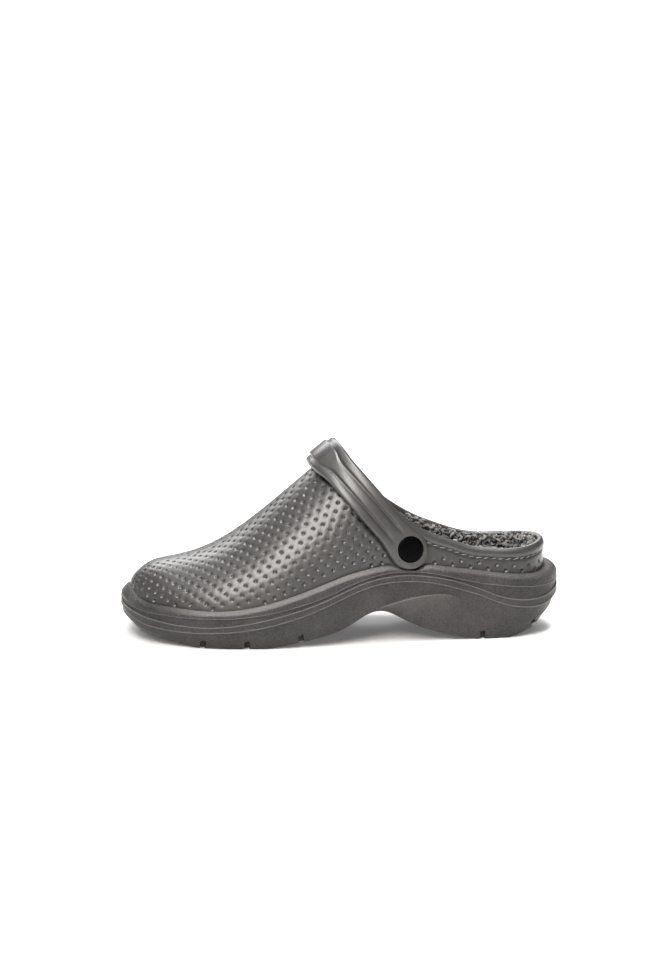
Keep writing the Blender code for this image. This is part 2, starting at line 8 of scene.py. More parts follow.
import math
from collections import namedtuple
from functools import partial

import bmesh
import bpy
import numpy as np
from mathutils import Matrix, Vector, kdtree, noise
from mathutils.geometry import delaunay_2d_cdt


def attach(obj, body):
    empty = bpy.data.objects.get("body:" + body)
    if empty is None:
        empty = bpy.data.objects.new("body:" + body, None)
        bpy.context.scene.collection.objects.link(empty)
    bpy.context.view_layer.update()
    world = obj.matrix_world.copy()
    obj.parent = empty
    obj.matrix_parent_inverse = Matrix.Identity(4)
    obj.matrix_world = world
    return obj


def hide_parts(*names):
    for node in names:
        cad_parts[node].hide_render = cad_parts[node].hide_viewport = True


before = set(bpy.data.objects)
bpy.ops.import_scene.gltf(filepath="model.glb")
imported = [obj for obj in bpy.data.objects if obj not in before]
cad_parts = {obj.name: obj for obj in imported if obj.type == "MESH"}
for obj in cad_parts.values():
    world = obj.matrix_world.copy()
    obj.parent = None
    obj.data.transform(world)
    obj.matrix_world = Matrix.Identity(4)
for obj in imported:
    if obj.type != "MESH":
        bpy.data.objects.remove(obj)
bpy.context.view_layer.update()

MM = 0.001
LATERAL = 1
MEDIAL = -1
SIDES = (LATERAL, MEDIAL)
FRONT = 1
BACK = -1
FRAME_SHIFT = np.array((0.016, 3.4686, 0.0))  # from the middle of the last to the middle of the box round the shoe

# Driving sizes of the last and the sole
LENGTH = 260.0
BALL_WIDTH = 92.0
INSTEP_HEIGHT = 107.4
SOLE_HEIGHT = 48.0
WALL = 3.2
GAP = 0.3

# The last in percent: stations of LENGTH, widths and centre line of BALL_WIDTH, crest of INSTEP_HEIGHT.
Section = namedtuple("Section", "station lateral medial centre crest fullness lean")
LAST = (
    Section(0.0, 34.3, 34.3, 0.0, 156.5, 2.2, 13),
    Section(15.4, 35.2, 34.8, 0.0, 154.6, 2.2, 13),
    Section(26.9, 37.1, 35.1, 0.0, 145.3, 2.15, 12),
    Section(35.8, 39.3, 36.0, 0.0, 131.3, 2.05, 6),
    Section(44.2, 42.7, 38.2, -0.5, 115.5, 1.95, 2),
    Section(52.3, 46.1, 41.6, -1.1, 100.0, 1.92, 0),
    Section(58.8, 48.5, 44.9, -1.7, 87.1, 1.95, 0),
    Section(67.3, 50.2, 48.3, -2.8, 69.4, 2.05, 0),
    Section(75.4, 49.8, 49.8, -4.5, 54.6, 2.15, 0),
    Section(81.2, 48.7, 49.4, -5.8, 47.2, 2.2, 0),
    Section(86.5, 47.5, 48.3, -7.1, 43.4, 2.2, 0),
    Section(92.3, 46.1, 46.6, -8.4, 41.4, 2.2, 0),
    Section(98.5, 44.9, 44.9, -9.8, 40.8, 2.2, 0),
)

# The top edge of the quarter in percent: stations of LENGTH, heights of INSTEP_HEIGHT.
Edge = namedtuple("Edge", "station lateral medial")
COLLAR = (
    Edge(3.0, 50.6, 50.6),
    Edge(7.7, 48.9, 49.1),
    Edge(12.7, 48.5, 48.3),
    Edge(18.1, 49.6, 48.7),
    Edge(21.9, 50.9, 50.6),
    Edge(26.2, 54.5, 54.2),
    Edge(30.8, 58.5, 58.6),
    Edge(36.2, 66.5, 66.0),
    Edge(41.2, 76.5, 75.0),
    Edge(46.9, 88.5, 87.5),
    Edge(52.3, 100.0, 100.0),
)

# The sole: stations in percent of LENGTH, heights in percent of SOLE_HEIGHT, the last three in millimetres.
Cut = namedtuple("Cut", "station rim shoulder ribbon_top ribbon_foot breast tread bed ledge tuck brow")
SOLE = (
    Cut(3.0, 82.9, 64.6, 59.6, 52.5, 38.5, 24.6, 56.3, 7.8, 8.0, 4.5),
    Cut(5.8, 79.8, 62.9, 50.8, 42.1, 28.1, 14.0, 52.1, 7.4, 6.2, 4),
    Cut(10.0, 79.8, 63.3, 48.3, 39.2, 19.8, 4.6, 50.0, 6.4, 4.6, 3.5),
    Cut(14.6, 82.3, 66.3, 52.5, 44.4, 18.8, -1.0, 50.0, 5.7, 3.8, 3.2),
    Cut(19.2, 86.0, 69.6, 62.1, 54.6, 27.1, -0.6, 52.1, 5.2, 3.4, 3.0),
    Cut(24.2, 90.2, 75.6, 72.1, 64.0, 50.0, 3.3, 55.0, 5.0, 3.2, 3.0),
    Cut(31.2, 95.8, 84.6, 81.7, 74.2, 59.0, 13.8, 58.8, 4.8, 3.0, 3.0),
    Cut(37.3, 99.2, 88.3, 85.2, 77.7, 54.8, 27.9, 60.4, 4.7, 2.8, 3.0),
    Cut(42.3, 97.7, 87.1, 83.8, 76.7, 47.9, 40.8, 60.8, 4.7, 2.4, 3.0),
    Cut(46.2, 94.3, 82.9, 79.6, 72.5, 42.5, 37.5, 58.3, 4.7, 2.4, 3.0),
    Cut(50.4, 89.0, 75.0, 71.7, 64.6, 38.3, 24.2, 52.9, 4.8, 2.8, 3.0),
    Cut(55.8, 79.0, 62.9, 59.2, 51.7, 32.3, 13.3, 42.9, 4.9, 3.2, 3.0),
    Cut(62.3, 66.5, 51.7, 47.1, 38.8, 21.9, 6.0, 30.8, 5.0, 3.4, 3.0),
    Cut(69.6, 54.8, 42.7, 36.7, 28.3, 15.0, -0.4, 23.3, 5.0, 3.4, 3.0),
    Cut(81.9, 46.7, 37.1, 27.5, 20.8, 10.4, -0.6, 20.8, 5.0, 3.4, 3.0),
    Cut(92.3, 50.0, 38.8, 31.7, 22.9, 15.0, 7.1, 25.4, 4.8, 4.2, 3.0),
    Cut(95.8, 53.5, 41.3, 36.3, 28.3, 20.0, 11.7, 28.3, 4.6, 5.5, 3.6),
    Cut(98.3, 64.5, 45.8, 42.5, 38.3, 29.2, 19.6, 31.3, 4.5, 6.5, 6.5),
)

# Upper
HEEL_END = 7.8
TOE_END = 255.5
HEEL_ROUND = 34.0
HEEL_POWER = 2.3
HEEL_LEAN = 0.35
TOE_ROUND = {LATERAL: 62.0, MEDIAL: 48.0}
TOE_POWER = {LATERAL: 2.2, MEDIAL: 2.4}
TOE_DROP = 22.5
TOE_DROP_POWER = 2.3
THROAT = 52.3 * LENGTH / 100
HEM_DEPTH = 6.0
COLLAR_ROLL = 1.0
ROLL_HEIGHT = 5.0
COLLAR_CROWN = 1.1
CHANNEL_DEPTH = 0.45  # of the groove that the stitches lie in
CHANNEL_HALF = 0.7
STITCH_DROP = 5.4  # from the collar edge to the stitches
LIP_ROWS = (0.6, 1.3, 2.1, 3.0, 3.8, 4.4, 4.8, 5.1, 5.4, 5.7, 6.1, 6.8, 7.8)  # of the mesh, below the collar edge
LIP_STEPS = 6
LIP_WELD = 0.03  # joins the lip points of both sides at the heel and the throat
INNER_ROWS = 12

# Dimples: blind pits in lengthwise rows, each row half a pitch off the next
PIT_RADIUS = 1.28
PIT_DEPTH = 0.95
PIT_PITCH = 6.3  # along a row
Row = namedtuple("Row", "station girth step")
PIT_ROWS = (  # the middle row by its girth, and the step in girth from row to row
    Row(90, 34.0, 4.7),
    Row(115, 35.5, 4.7),
    Row(130, 35.3, 4.75),
    Row(142, 35.6, 4.8),
    Row(155, 35.2, 4.92),
    Row(170, 33.6, 4.9),
    Row(185, 30.4, 4.8),
    Row(200, 25.7, 4.65),
    Row(210, 20.9, 4.55),
    Row(220, 14.8, 4.45),
    Row(240, 1.0, 4.22),
    Row(256, -10.2, 4.1),
)
PIT_ANCHOR = 192.5  # station of one dimple of the middle row
PIT_STAGGER = 2.18  # how far the next row up sets its dimple back
PIT_COUNT = (-7, 15)  # rows below and above the middle one
PIT_ABOVE_RIM = 1.1
PIT_FROM_CREST = 2.3
CREST_GAP = 5.0  # least distance of the dimples that fill the crest
PIT_FROM_COLLAR = 8.5
PIT_BEHIND_STRAP = 3.0
QUARTER_PITCH = 10.9
QUARTER_ANCHOR = 57.7  # station of one dimple of the lower row
QUARTER_ROWS = (1.0, 4.0)  # above the rim
QUARTER_END = 82.0
QUARTER_FREE = 1.7  # no dimple closer to the heel seam
PIT_RINGS = (0.3, 0.62, 0.9, 1.03, 1.22)  # mesh rings in pit radii
PIT_SIDES = 10
PIT_POWER = 1.7  # of the bowl
FAR = 99.0  # stands for no dimple near
LIP_ROOM = 0.55  # least share of its distance that a row below the collar edge keeps
FILL_STEP = 2.4  # of the points between the dimples
FILL_GAP = 0.55  # least share of that step between them and the rest

# Fleece
LINING = 3.2
LINING_GAP = 0.6
LINING_SKIRT = 2.4
INSOLE = 6.0
INSOLE_INSET = 9.0
INSOLE_ROUND = 1.5

# Sole details
BOWL_INSET = WALL + 0.2
BOWL_FILLET = 1.6
STEP = 0.7
WING = 0.9
WING_STATIONS = (62.0, 76.0, 104.0, 119.0)
BREAST_TUCK = 0.3
EDGE = 1.4
SEAT_DIP = 4.5
SEAT_REACH = 13.0
SEAT_RIM = 0.9
GROOVES = (17.2, 50.4, 159.0, 191.0, 216.4)
GROOVE_WIDTH = 3.2
GROOVE_DEPTH = 0.6
GROOVE_MIDDLE = 14.0  # each groove runs in from both edges and leaves the middle of the tread whole
NOTCH_DEPTH = 5.0  # of a groove where it cuts into the edge of the sole
NOTCH_REACH = 2.8  # in from the edge
SOLE_FILLET = 0.4
BEAD = 0.35  # height of the thin raised lines on the side
NOSE_REACH = 14.0  # the rim turns into a plain round nose over this length at the toe
NOSE_DIP = 1.4  # beside the tip
NOSE_DIP_BACK = 3.5  # from the tip to the deepest place
NOSE_DIP_HALF = 2.2
NOSE_LEAN = 2.2  # of the rim onto the upper at the tip
TOE_FULL = 30.0  # the side of the sole bellies out over this length at the toe
FULL_EDGE = 0.35  # share of the tuck that the belly takes up at the tread
CROWN_SHARE = 0.35  # of the ledge, from the upper to the crown of the rim
RIM_TURNS = 7  # steps round the rim
RIM_TOUCH = 0.15  # the rim closes on the upper
LINE_HALF = 0.6  # height of a raised line to each side
RIM_HIGHLIGHT = 0.6  # painted highlight on the rim, least at the toe and the heel
HIGHLIGHT_TOE = (TOE_END - 45, 30)
HIGHLIGHT_HEEL = (60, 60)
HIGHLIGHT_HEEL_LEAST = 0.3
HIGHLIGHT_WING = 0.8
HIGHLIGHT_BESIDE = 0.3  # share of the painted highlight beside a raised line
LINE_ROWS = (2, 5, 8)  # raised lines among the rows of the side
WING_ROW = 11
BED_STRIPS = 24
SHARP_ANGLE = 40  # degrees

# Strap and rivets
RIVET_STATION = 95.2
RIVET_HEIGHT = 55.7
STRAP_LEAN = math.radians(49.3)
STRAP_REACH = 67.4
STRAP_POWER = 2.45
STRAP_BULGE = {LATERAL: 2.1, MEDIAL: 0.5}
STRAP_GAP = 0.9
STRAP_END = 11.4
STRAP_WAIST = {BACK: 9.8, FRONT: 9.1}
STRAP_TOP = {BACK: 10.8, FRONT: 11.4}
STRAP_NECK = 17.0
STRAP_FLARE = 56.0
STRAP_THICK = 4.6
STRAP_GROOVE = 1.2
GROOVE_START = (10.0, 18.0)
PAD_RISE = 1.6
PAD_START = 62.5
TOP_SPLAY = 0.04
HEAD_RADIUS = 7.6
SHANK_RADIUS = 3.3
FLANGE_RADIUS = 6.2
BORE_RADIUS = SHANK_RADIUS + GAP
STRAP_FLOOR = 2.2
FLANGE_SEAT = 1.3
TURNS = 72
STRAP_ARC = 132
STRAP_END_STEPS = 16
STRAP_END_TURN = 1.5  # radians round the end below the rivets
STRAP_CHAMFER = 1.6  # at its upper edges
HEAD_PROUD = 0.5  # of the strap
SHADOW_PAINT_PEAK = 3.0  # painted shadow value on the line where the strap meets the upper
SHADOW_PAINT_START = -6.0  # along the strap, where the painted shadow starts
STRAP_OFF = 1.2  # the strap stands off the upper by this half-way up
STRAP_FILLET = 0.5


def natural_spline(places, values):
    """A smooth function of the place through all the values, level in bend at both ends."""
    places = np.array(places, float)
    values = np.array(values, float)
    last = len(places) - 1
    steps = np.diff(places)
    slopes = np.diff(values) / steps
    system = np.eye(last + 1)
    right = np.zeros(last + 1)
    for i in range(1, last):
        system[i, i - 1 : i + 2] = steps[i - 1], 2 * (steps[i - 1] + steps[i]), steps[i]
        right[i] = 6 * (slopes[i] - slopes[i - 1])
    bends = np.linalg.solve(system, right)

    def value(place):
        place = np.clip(np.asarray(place, float), places[0], places[-1])
        i = np.clip(np.searchsorted(places, place, side="right") - 1, 0, last - 1)
        step = steps[i]
        ahead = place - places[i]
        behind = places[i + 1] - place
        bent = (bends[i] * behind**3 + bends[i + 1] * ahead**3) / (6 * step)
        start = (values[i] / step - bends[i] * step / 6) * behind
        return bent + start + (values[i + 1] / step - bends[i + 1] * step / 6) * ahead

    return value


def column(rows, name, size):
    """One column of a percent table as a smooth function of the station."""
    stations = [row.station * LENGTH / 100 for row in rows]
    return natural_spline(stations, [getattr(row, name) * size / 100 for row in rows])


WIDTH = {LATERAL: column(LAST, "lateral", BALL_WIDTH), MEDIAL: column(LAST, "medial", BALL_WIDTH)}
CENTRE = column(LAST, "centre", BALL_WIDTH)
CREST = column(LAST, "crest", INSTEP_HEIGHT)
FULLNESS = column(LAST, "fullness", 100)
LEAN = column(LAST, "lean", 1)
COLLAR_TOP = {
    LATERAL: column(COLLAR, "lateral", INSTEP_HEIGHT),
    MEDIAL: column(COLLAR, "medial", INSTEP_HEIGHT),
}
SOLE_LINE = {name: column(SOLE, name, SOLE_HEIGHT) for name in Cut._fields[1:8]}
LEDGE = column(SOLE, "ledge", 100)
TUCK = column(SOLE, "tuck", 100)
BROW = column(SOLE, "brow", 100)


def share_past(value, start, length):
    return np.clip((value - start) / length, 0.0, 1.0)


def rounded(share, power):
    """The height left at a share of the way round a superelliptic end."""
    return (1 - share**power) ** (1 / power)


def eased(share):
    return share * share * (3 - 2 * share)


def plateau(value, bounds):
    """Rises from 0 to 1 between the first two bounds and falls back between the last two."""
    start, full, fade, end = bounds
    return eased(share_past(value, start, full - start)) * eased(share_past(-value, -end, end - fade))


def unit(vectors):
    return vectors / np.maximum(np.linalg.norm(vectors, axis=-1, keepdims=True), 1e-12)


def run_along(points):
    """Distance along each row of points from its first one."""
    steps = np.linalg.norm(np.diff(points, axis=-2), axis=-1)
    return np.concatenate((np.zeros((*steps.shape[:-1], 1)), np.cumsum(steps, axis=-1)), axis=-1)


def point_tree(points):
    tree = kdtree.KDTree(len(points))
    for number, point in enumerate(points):
        tree.insert(point, number)
    tree.balance()
    return tree


def half_width(station, side):
    heel = rounded(share_past(HEEL_END + HEEL_ROUND - station, 0, HEEL_ROUND), HEEL_POWER)
    start = TOE_END - TOE_ROUND[side]
    toe = rounded(share_past(station, start, TOE_ROUND[side]), TOE_POWER[side])
    return WIDTH[side](station) * heel * toe


def hem_height(station):
    return SOLE_LINE["rim"](station) - HEM_DEPTH


def section_height(station):
    """Rise of a section from the hem to its crest."""
    toe = rounded(share_past(station, TOE_END - TOE_DROP, TOE_DROP), TOE_DROP_POWER)
    return (CREST(station) - hem_height(station)) * toe


def section_points(station, side, angle):
    """Points of the upper: angle 0 is at the hem and a right angle is on the crest."""
    station, angle = np.broadcast_arrays(np.asarray(station, float), np.asarray(angle, float))
    power = 2 / FULLNESS(station)
    spread = np.abs(np.cos(angle)) ** power
    rise = section_height(station) * np.sin(angle) ** power
    lean = np.maximum(LEAN(station), 0) * rise * spread
    heel = share_past(HEEL_END + HEEL_ROUND - station, 0, HEEL_ROUND)
    ahead = HEEL_LEAN * lean * heel ** (HEEL_POWER - 1)
    inward = lean * rounded(heel, HEEL_POWER) ** (HEEL_POWER - 1)
    across = half_width(station, side) * spread - inward
    x = station - LENGTH / 2 + ahead
    return np.stack((x, CENTRE(station) + side * across, hem_height(station) + rise), axis=-1)


def angle_at(station, height):
    rise = np.maximum(section_height(station), 1e-6)
    share = share_past(height, hem_height(station), rise)
    return np.arcsin(share ** (FULLNESS(station) / 2))


def top_angle(station, side, drop):
    low = angle_at(station, COLLAR_TOP[side](station) - drop)
    return np.where(station >= THROAT, math.pi / 2, low)


def wall_y(station, height, side):
    return section_points(station, side, angle_at(station, height))[..., 1]


def wall_normal(station, height, side):
    """Outward direction of the upper on one side."""
    reach = 0.5
    along = wall_y(station + reach, height, side) - wall_y(station - reach, height, side)
    up = wall_y(station, height + reach, side) - wall_y(station, height - reach, side)
    return (Vector((-along / (2 * reach), 1, -up / (2 * reach))) * side).normalized()


def column_stations(heel_count, quarter_count, throat_count, vamp_count, toe_count):
    """Stations from heel to toe, close together where the outline or the throat turns fast."""
    throat_reach = 24.0
    heel = HEEL_END + HEEL_ROUND * (1 - np.cos(math.pi / 2 * np.arange(heel_count) / heel_count))
    quarter = np.linspace(HEEL_END + HEEL_ROUND, THROAT - throat_reach, quarter_count + 1)[:-1]
    throat = THROAT - throat_reach * (1 - np.arange(throat_count) / throat_count) ** 2
    turn = TOE_END - TOE_DROP
    vamp = np.linspace(THROAT, turn, vamp_count + 1)[:-1]
    toe = turn + TOE_DROP * np.sin(math.pi / 2 * np.arange(toe_count + 1) / toe_count)
    return np.concatenate((heel, quarter, throat, vamp, toe))


STATIONS = column_stations(18, 32, 14, 44, 22)
ANGLES = np.linspace(0, math.pi / 2, 181)


# Girth at every station and angle, girth of the crest, and distance along the hem from the back of the heel
GIRTH = {side: run_along(section_points(STATIONS[:, None], side, ANGLES[None, :])) for side in SIDES}
CREST_GIRTH = {side: GIRTH[side][:, -1] for side in SIDES}
HEM_RUN = {side: run_along(section_points(STATIONS, side, 0.0)) for side in SIDES}


def girth_angles(side, stations, girths):
    """Section angles at some girths, read from the table between its two nearest stations."""
    low = np.clip(np.searchsorted(STATIONS, stations, side="right") - 1, 0, len(STATIONS) - 2)
    blend = (stations - STATIONS[low]) / (STATIONS[low + 1] - STATIONS[low])
    shares = girths / np.maximum(np.interp(stations, STATIONS, CREST_GIRTH[side]), 1e-6)
    angles = np.empty(len(shares))
    for k, share in enumerate(shares):
        ends = []
        for i in (low[k], low[k] + 1):
            whole = max(GIRTH[side][i, -1], 1e-6)
            ends.append(np.interp(share, GIRTH[side][i] / whole, ANGLES) if whole > 1e-5 else share * math.pi / 2)
        angles[k] = ends[0] + (ends[1] - ends[0]) * blend[k]
    return angles


def on_upper(side, stations, girths):
    stations = np.asarray(stations, float)
    return section_points(stations, side, girth_angles(side, stations, np.asarray(girths, float)))


def top_girth(side):
    """Girth of the collar edge, and of the crest in front of the throat, at every station."""
    tops = top_angle(STATIONS, side, 0.0)
    return np.array([np.interp(top, ANGLES, row) for top, row in zip(tops, GIRTH[side])])


TOP_GIRTH = {side: top_girth(side) for side in SIDES}


def to_frame(points):
    """Millimetres on the last to metres in the shoe's frame."""
    return (np.asarray(points, float) + FRAME_SHIFT) * MM


class Welded:
    """A mesh in the making whose points are shared wherever they meet."""

    def __init__(self):
        self.points = []
        self.faces = []
        self.known = {}

    def add(self, points):
        ids = []
        for point in np.asarray(points, float).reshape(-1, 3):
            key = tuple(np.round(point, 3) + 0.0)
            if key not in self.known:
                self.known[key] = len(self.points)
                self.points.append(point)
            ids.append(self.known[key])
        return np.array(ids)

    def face(self, corners):
        ring = [int(c) for k, c in enumerate(corners) if c != corners[k - 1]]
        if len(set(ring)) == len(ring) and len(ring) > 2:
            self.faces.append(ring)

    def strip(self, first, second, closed=False, flip=False):
        """Quads between two rows of points."""
        for k in range(len(first) if closed else len(first) - 1):
            after = (k + 1) % len(first)
            corners = [first[k], first[after], second[after], second[k]]
            self.face(corners[::-1] if flip else corners)

    def loft(self, rings):
        """A skin through rings of points."""
        ids = [self.add(ring) for ring in rings]
        for first, second in zip(ids, ids[1:]):
            self.strip(first, second, closed=True)
        return ids

    def normals(self):
        points = np.array(self.points)
        total = np.zeros_like(points)
        for ring in self.faces:
            corners = points[ring]
            normal = np.zeros(3)
            for k in range(1, len(ring) - 1):
                normal += np.cross(corners[k] - corners[0], corners[k + 1] - corners[0])
            total[ring] += normal
        return unit(total)


def shell(outer, outer_faces, inner, inner_faces):
    """Two skins as one body, the inner one facing the other way."""
    body = Welded()
    body.points = [*outer, *inner]
    body.faces = [list(face) for face in outer_faces]
    body.faces += [[len(outer) + k for k in reversed(face)] for face in inner_faces]
    return body


def bridge(body, top_rows, hem_rows, side):
    """Closes the gap between the two skins of a shell on one side of the foot, over the top edge and along the hem."""
    for first, second in zip(top_rows, top_rows[1:]):
        body.strip(first, second, flip=side == LATERAL)
    body.strip(*hem_rows, flip=side == MEDIAL)


def linked(name, data):
    """A new object in the scene."""
    obj = bpy.data.objects.new(name, data)
    bpy.context.scene.collection.objects.link(obj)
    return obj


def new_object(name, points, faces, material=None):
    mesh = bpy.data.meshes.new(name)
    mesh.from_pydata([tuple(p) for p in to_frame(points)], [], faces)
    mesh.update()
    mesh.shade_smooth()
    if material:
        mesh.materials.append(material)
    return linked(name, mesh)


def outward(obj):
    """Turns all faces outward."""
    bm = bmesh.new()
    bm.from_mesh(obj.data)
    bmesh.ops.recalc_face_normals(bm, faces=bm.faces)
    bm.to_mesh(obj.data)
    bm.free()
    return obj


def tube(name, rings, material):
    """A capped tube through rings of points about the origin of the shoe's frame."""
    body = Welded()
    ids = body.loft(rings)
    body.faces += [ids[0].tolist(), ids[-1][::-1].tolist()]
    return outward(new_object(name, np.array(body.points) - FRAME_SHIFT, body.faces, material))


def point_values(obj, name, values):
    attribute = obj.data.attributes.new(name, "FLOAT", "POINT")
    attribute.data.foreach_set("value", np.asarray(values, np.float32))


def made_plain(obj):
    """Turns what the modifiers make of an object into its own mesh and removes them."""
    bpy.context.view_layer.update()
    evaluated = obj.evaluated_get(bpy.context.evaluated_depsgraph_get())
    mesh = bpy.data.meshes.new_from_object(evaluated)
    obj.modifiers.clear()
    obj.data = mesh
    mesh.name = obj.name
    return obj


def wire(node, inputs):
    """Links or sets inputs of a node. A node given as a value stands for its first output in use."""
    for name, value in inputs.items():
        if isinstance(value, bpy.types.Node):
            value = next(socket for socket in value.outputs if socket.enabled)
        if isinstance(value, bpy.types.NodeSocket):
            node.id_data.links.new(value, node.inputs[name])
        else:
            node.inputs[name].default_value = value
    return node


def add_node(tree, kind, inputs=None, **settings):
    """Adds a node with its settings, and links or sets its inputs."""
    node = tree.nodes.new(kind)
    for name, value in settings.items():
        setattr(node, name, value)
    return wire(node, inputs or {})


def linear(colour):
    """A sRGB hex colour as linear red, green, blue and alpha."""
    parts = [int(colour[i : i + 2], 16) / 255 for i in (1, 3, 5)]
    return (*[c / 12.92 if c <= 0.04045 else ((c + 0.055) / 1.055) ** 2.4 for c in parts], 1.0)


# Materials


def new_material(name):
    """A material, the function that adds nodes to it, its shader and its Object coordinates."""
    material = bpy.data.materials.new(name)
    material.use_nodes = True
    node = partial(add_node, material.node_tree)
    shader = material.node_tree.nodes["Principled BSDF"]
    return material, node, shader, node("ShaderNodeTexCoord").outputs["Object"]


def per_mm(size):
    """Texture scale on Object coordinates for features of a size in millimetres."""
    return 1.0 / (size * MM)


NOISE_SPAN = {"From Min": 0.3, "From Max": 0.7}  # nearly all values of a noise lie in it
GLOSS_SPREAD = 0.06  # of the roughness, with the grain
SHADOW_PAINT_SPAN = {"From Min": 1.6, "From Max": 2.5}  # of the painted shadow value, from bare skin to black


def foam_material(name, dark, light, painted_light, roughness, grain_mm, grain_depth_mm, mottle_mm, finish):
    """Moulded EVA foam: even grey, satin, with the fine grain that the mould gives it and soft clouds of darker and
    lighter tone. Where a mesh carries them, it also paints a highlight and a black shadow line.
    """
    material, node, shader, place = new_material(name)
    clouds = node("ShaderNodeTexNoise", {"Vector": place, "Scale": per_mm(mottle_mm), "Detail": 3.0, "Roughness": 0.6})
    grain = node("ShaderNodeTexNoise", {"Vector": place, "Scale": per_mm(grain_mm), "Detail": 2.0, "Roughness": 0.65})
    tone = node("ShaderNodeMapRange", {"Value": clouds, **NOISE_SPAN, "To Min": 0.2, "To Max": 0.8})
    speck = node("ShaderNodeMapRange", {"Value": grain, **NOISE_SPAN, "To Min": -0.5, "To Max": 0.5})
    both = node("ShaderNodeMath", {0: tone, 1: speck}, operation="ADD", use_clamp=True)
    skin = node("ShaderNodeMix", {"Factor": both, "A": linear(dark), "B": linear(light)}, data_type="RGBA")
    # Painted highlight: a paler tone where the mesh asks for it, on the sole's rim, raised lines and wing, as where
    # they catch the light.
    wear = node("ShaderNodeAttribute", attribute_name="wear").outputs["Fac"]
    highlit = node("ShaderNodeMix", {"Factor": wear, "A": skin, "B": linear(painted_light)}, data_type="RGBA")
    # Painted shadow: the upper turns black in a line just in front of the strap's front edge, where the strap shades
    # it.
    cleft = node("ShaderNodeAttribute", attribute_name="cleft").outputs["Fac"]
    painted_dark_share = node("ShaderNodeMapRange", {"Value": cleft, **SHADOW_PAINT_SPAN}, interpolation_type="SMOOTHSTEP")
    colour = node("ShaderNodeMix", {"Factor": painted_dark_share, "A": highlit, "B": linear("#060606")}, data_type="RGBA")
    glosses = {"To Min": roughness - GLOSS_SPREAD, "To Max": roughness + GLOSS_SPREAD}
    gloss = node("ShaderNodeMapRange", {"Value": grain, **NOISE_SPAN, **glosses})
    bump = node("ShaderNodeBump", {"Height": grain, "Distance": grain_depth_mm * MM, "Strength": 1.0})
    wire(shader, {"Base Color": colour, "Roughness": gloss, "Normal": bump, "IOR": 1.48, **finish})
    return material


# Upper and strap: smooth mould, so the foam skin is closed and shines softly.
UPPER_FOAM = foam_material(
    "EVA_foam_smooth",
    dark="#2a2827",
    light="#353332",
    painted_light="#4c4a48",
    roughness=0.4,
    grain_mm=0.7,
    grain_depth_mm=0.14,
    mottle_mm=22.0,
    finish={"Coat Weight": 0.5, "Coat Roughness": 0.29},
)
# Sole: spark-eroded mould, a coarser grain that glints on the rim and stays dull on the side.
SOLE_FOAM = foam_material(
    "EVA_foam_grained",
    dark="#1f1d1d",
    light="#3b3838",
    painted_light="#6b6866",
    roughness=0.42,
    grain_mm=1.0,
    grain_depth_mm=0.7,
    mottle_mm=26.0,
    finish={"Specular IOR Level": 0.35},
)


def thread_material():
    """Spun polyester thread: pale grey, dull, with a twist of about 1 mm."""
    material, node, shader, place = new_material("polyester_thread")
    bands = {"Vector": place, "Scale": per_mm(3.0), "Distortion": 1.0}
    twist = node("ShaderNodeTexWave", bands, bands_direction="DIAGONAL").outputs["Fac"]
    colour = node("ShaderNodeMix", {"Factor": twist, "A": linear("#6f6d6c"), "B": linear("#8f8c8a")}, data_type="RGBA")
    bump = node("ShaderNodeBump", {"Height": twist, "Distance": 0.1 * MM})
    wire(shader, {"Base Color": colour, "Normal": bump, "Roughness": 0.7})
    return material


def fleece_material():
    """Polyester sherpa fleece with a soft sheen: grey curls of random tone, painted near black at the roots and on the
    backing as shade, and darker where the pile carries painted shade.
    """
    material, node, shader, place = new_material("sherpa_fleece")
    tone_and_shade = node("ShaderNodeAttribute", attribute_name="curl_shade").outputs["Fac"]
    lift = node("ShaderNodeAttribute", attribute_name="curl_lift").outputs["Fac"]
    fibres = node("ShaderNodeTexNoise", {"Vector": place, "Scale": per_mm(0.6), "Detail": 2.0, "Roughness": 0.7})
    # Painted shade: the colour darkens towards each curl's root, and with the tone and painted shade it carries.
    raised = node("ShaderNodeMath", {0: tone_and_shade, 1: lift}, operation="MULTIPLY")
    mixed = node("ShaderNodeMath", {0: fibres, 1: 0.3, 2: raised}, operation="MULTIPLY_ADD")
    ramp = node("ShaderNodeMapRange", {"Value": mixed, "From Min": 0.12, "From Max": 0.95})
    colour = node("ShaderNodeMix", {"Factor": ramp, "A": linear("#121111"), "B": linear("#757270")}, data_type="RGBA")
    bump = node("ShaderNodeBump", {"Height": fibres, "Distance": 0.25 * MM})
    wire(shader, {"Base Color": colour, "Normal": bump, "Roughness": 0.95})
    wire(shader, {"Sheen Weight": 0.4, "Sheen Roughness": 0.5})
    return material


def rivet_material():
    """Black nylon: semi-gloss, with the faint orange peel of a small moulding."""
    material, node, shader, place = new_material("black_nylon")
    peel = node("ShaderNodeTexNoise", {"Vector": place, "Scale": per_mm(1.4), "Detail": 1.0})
    colour = node("ShaderNodeMix", {"Factor": peel, "A": linear("#020202"), "B": linear("#060606")}, data_type="RGBA")
    bump = node("ShaderNodeBump", {"Height": peel, "Distance": 0.06 * MM})
    wire(shader, {"Base Color": colour, "Normal": bump, "Roughness": 0.3, "Specular IOR Level": 0.03})
    return material


THREAD = thread_material()
FLEECE = fleece_material()
RIVET_NYLON = rivet_material()


# Upper


def crest_girth_at(side, station):
    return np.interp(station, STATIONS, CREST_GIRTH[side])


def collar_chart(side, offset):
    """Stations and girths at a distance below the collar edge, from the heel to the throat."""
    behind = STATIONS <= THROAT + 1e-6
    run = HEM_RUN[side][behind]
    top = TOP_GIRTH[side][behind]
    slope = np.gradient(top, run)
    length = np.hypot(1, slope)
    return np.array((np.interp(run + offset * slope / length, HEM_RUN[side], STATIONS), top - offset / length))


